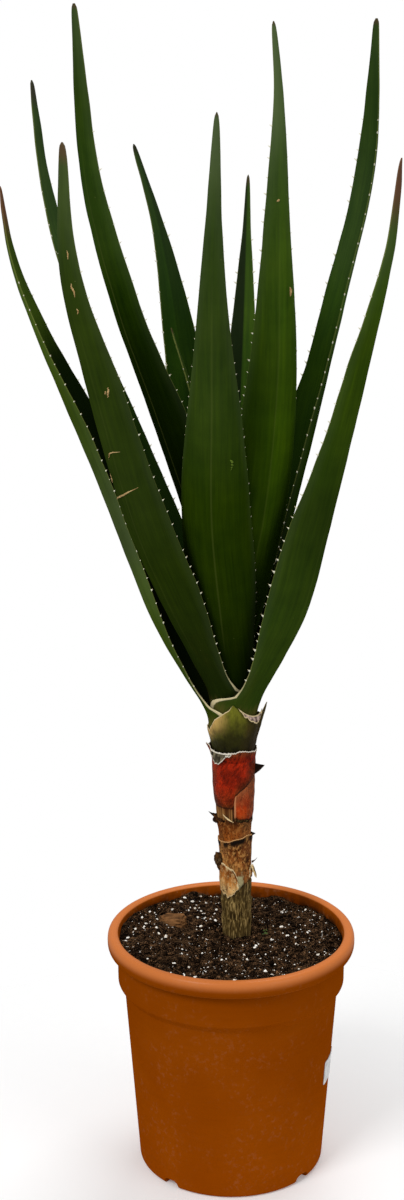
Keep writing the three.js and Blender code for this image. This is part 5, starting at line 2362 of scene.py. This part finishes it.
def lower_sheaths() -> list[DriedSheath]:
    """The sheaths from the brown one down.

    Returns:
        The sheaths.
    """
    umber, cream, wheat = srgb(46, 27, 12), srgb(240, 212, 160), srgb(226, 172, 112)
    brown = DrySkin(
        "sheath_brown_skin", srgb(176, 96, 32), srgb(138, 70, 20), srgb(88, 44, 14), srgb(58, 28, 8), umber,
        (Tint(srgb(112, 62, 20), -0.008, -0.015, 0.6), Tint(srgb(160, 104, 56), 0.006, 0.013, 0.6)),
        srgb(212, 140, 70), streaks=0.65, pale=0.45, pores=0.8,
    )
    tan = DrySkin(
        "sheath_tan_skin", srgb(214, 146, 74), srgb(150, 82, 32), srgb(74, 37, 13), srgb(34, 17, 6), wheat,
        # The second tint, darker on the right side, is painted shade.
        (Tint(srgb(216, 150, 84), 0.0, -0.012, 0.6, 0.0), Tint(srgb(120, 68, 32), 0.009, 0.015, 0.7)),
        srgb(232, 168, 92), streaks=0.75, patchy=0.7, pale=0.62, pores=1.0,
    )
    low = DrySkin(
        "sheath_low_skin", srgb(248, 206, 138), srgb(212, 140, 66), srgb(170, 98, 38), srgb(84, 44, 16),
        cream, (), srgb(250, 216, 152), streaks=0.65, patchy=0.55, pale=0.55, pores=1.0,
    )
    rest = DrySkin(
        "sheath_rest_skin", srgb(150, 98, 50), srgb(176, 110, 52), srgb(176, 108, 50), srgb(84, 48, 20),
        umber, (), srgb(178, 168, 124), pale=0.4, pores=1.0,
    )
    return [
        DriedSheath(
            "sheath_brown_skin", "sheath_brown", brown, 112, 455, ((0, 0.332), (360, 0.332)),
            ((0, 0.357), (180, 0.358), (250, 0.3595), (270, 0.3575), (278, 0.356), (328, 0.3545),
             (360, 0.357)),
            ((0.330, 0.0143), (0.344, 0.0147), (0.360, 0.0164)), 0.0009, ("sheath_brown",), rag_high=0.0015,
            painted_lip_shadow=0.5, curl=0.0008, lip=((0, 0.9), (232, 0.9), (360, 0.9)),
            flaps=(Flap(190, 30, 0.004, 0.002),), thorns=(Thorn(190, 0.356, 0.010, 0.006, 0.006),),
            stubs=(Stub(188, 0.3535, 0.008, 0.008, 0.0042), Stub(214, 0.3555, 0.011, 0.0035, 0.0016)),
        ),
        DriedSheath(
            "sheath_tan_skin", "sheath_brown", tan, 104, 446,
            ((0, 0.300), (172, 0.308), (200, 0.310), (250, 0.305), (275, 0.297), (300, 0.2935), (345, 0.294),
             (360, 0.300)),
            ((0, 0.338), (200, 0.333), (229, 0.3335), (274, 0.3375), (313, 0.3405), (360, 0.338)),
            ((0.298, 0.0141), (0.312, 0.0142), (0.342, 0.0152)), 0.0009, ("sheath_tan",), rag_low=0.0009,
            rag_high=0.0006, curl=0.0014, painted_lip_shadow=1.0, under=0.0085, lip_width=0.0012,
            thorns=(Thorn(350, 0.338, 0.0052, 0.0055, 0.001),),
        ),
        DriedSheath(
            "sheath_low_skin", "sheath_dry", low, 172, 280,
            ((172, 0.284), (190, 0.282), (215, 0.278), (238, 0.2765), (255, 0.2775), (266, 0.281),
             (280, 0.286)),
            ((172, 0.311), (200, 0.3125), (228, 0.3105), (246, 0.308), (260, 0.306), (268, 0.303),
             (275, 0.297), (280, 0.291)),
            ((0.275, 0.0150), (0.290, 0.0151), (0.302, 0.0150), (0.326, 0.0155)), 0.0009, ("sheath_low",),
            rag_low=0.0026, rag_high=0.0009, curl=0.0009, rag_ends=6.0, lip_low=0.9, lip_width=0.0026,
            painted_lip_shadow=0.9, under=0.0042,
            stubs=(Stub(196, 0.3115, 0.009, 0.017, 0.0042),),
        ),
        DriedSheath(
            "sheath_low_rest", "sheath_dry", rest, 266, 356,
            ((266, 0.284), (275, 0.2855), (285, 0.2865), (300, 0.2895), (330, 0.292), (356, 0.294)),
            ((266, 0.302), (278, 0.3035), (356, 0.302)),
            ((0.277, 0.0149), (0.302, 0.0150), (0.312, 0.0150)), 0.0008,
            rag_low=0.0016, lip=((266, 0.0), (356, 0.0)), char_low=0.6, patch=Patch(272, 298, 0.2835, 0.299),
        ),
        DriedSheath(
            "pale_shreds", "sheath_dry", low, 322, 352, ((322, 0.296), (352, 0.298)),
            ((322, 0.303), (340, 0.309), (352, 0.306)),
            ((0.29, 0.0156), (0.31, 0.0166), (0.36, 0.0174)), 0.0006,
            rag_high=0.0024, rag_low=0.001, lip_low=0.8, rag_ends=8.0,
            scraps=(
                Scrap(326, 350, 0.3075, 0.012, 0.0042, 0.5, -0.002, 0.9, 0.8),
                Scrap(230, 266, 0.3596, 0.0013, 0.0008, 0.5, -0.007, 0.9),
            ),
            thorns=(Thorn(344, 0.310, 0.0055, 0.0022, 0.005, 0.9),),
        ),
    ]


def main() -> None:
    """Builds the plant and its pot, then the studio."""
    logging.basicConfig(level=logging.INFO, format="%(name)s %(message)s")
    pot, stem = NurseryPot(), BareStem()
    soil = SoilBed(pot, stem)
    pot.build(PotPlastic())
    stem.build(StemBark())
    soil.build(
        Peat(),
        # The perlite's glow is painted light that keeps it bright.
        Grit("perlite", srgb(255, 254, 248), srgb(214, 202, 182), glow=0.3),
        Grit("root_fibre", srgb(124, 94, 64), srgb(56, 38, 24)),
        Grit("green_scrap", srgb(96, 122, 60), srgb(58, 78, 40)),
    )
    LooseBark().build(soil, Grit("bark", srgb(158, 110, 66), srgb(14, 8, 4), 420.0, 0.85, (0.22, 1.0, 1.0)))
    Sticker().build(pot, StickerPaper())
    for sheath in [*upper_sheaths(), *lower_sheaths()]:
        sheath.build(stem)
    for leaf in leaves():
        leaf.build(Blade(), MarginTeeth(), stem.crown)
    Studio().build()


if __name__ == "__main__":
    main()
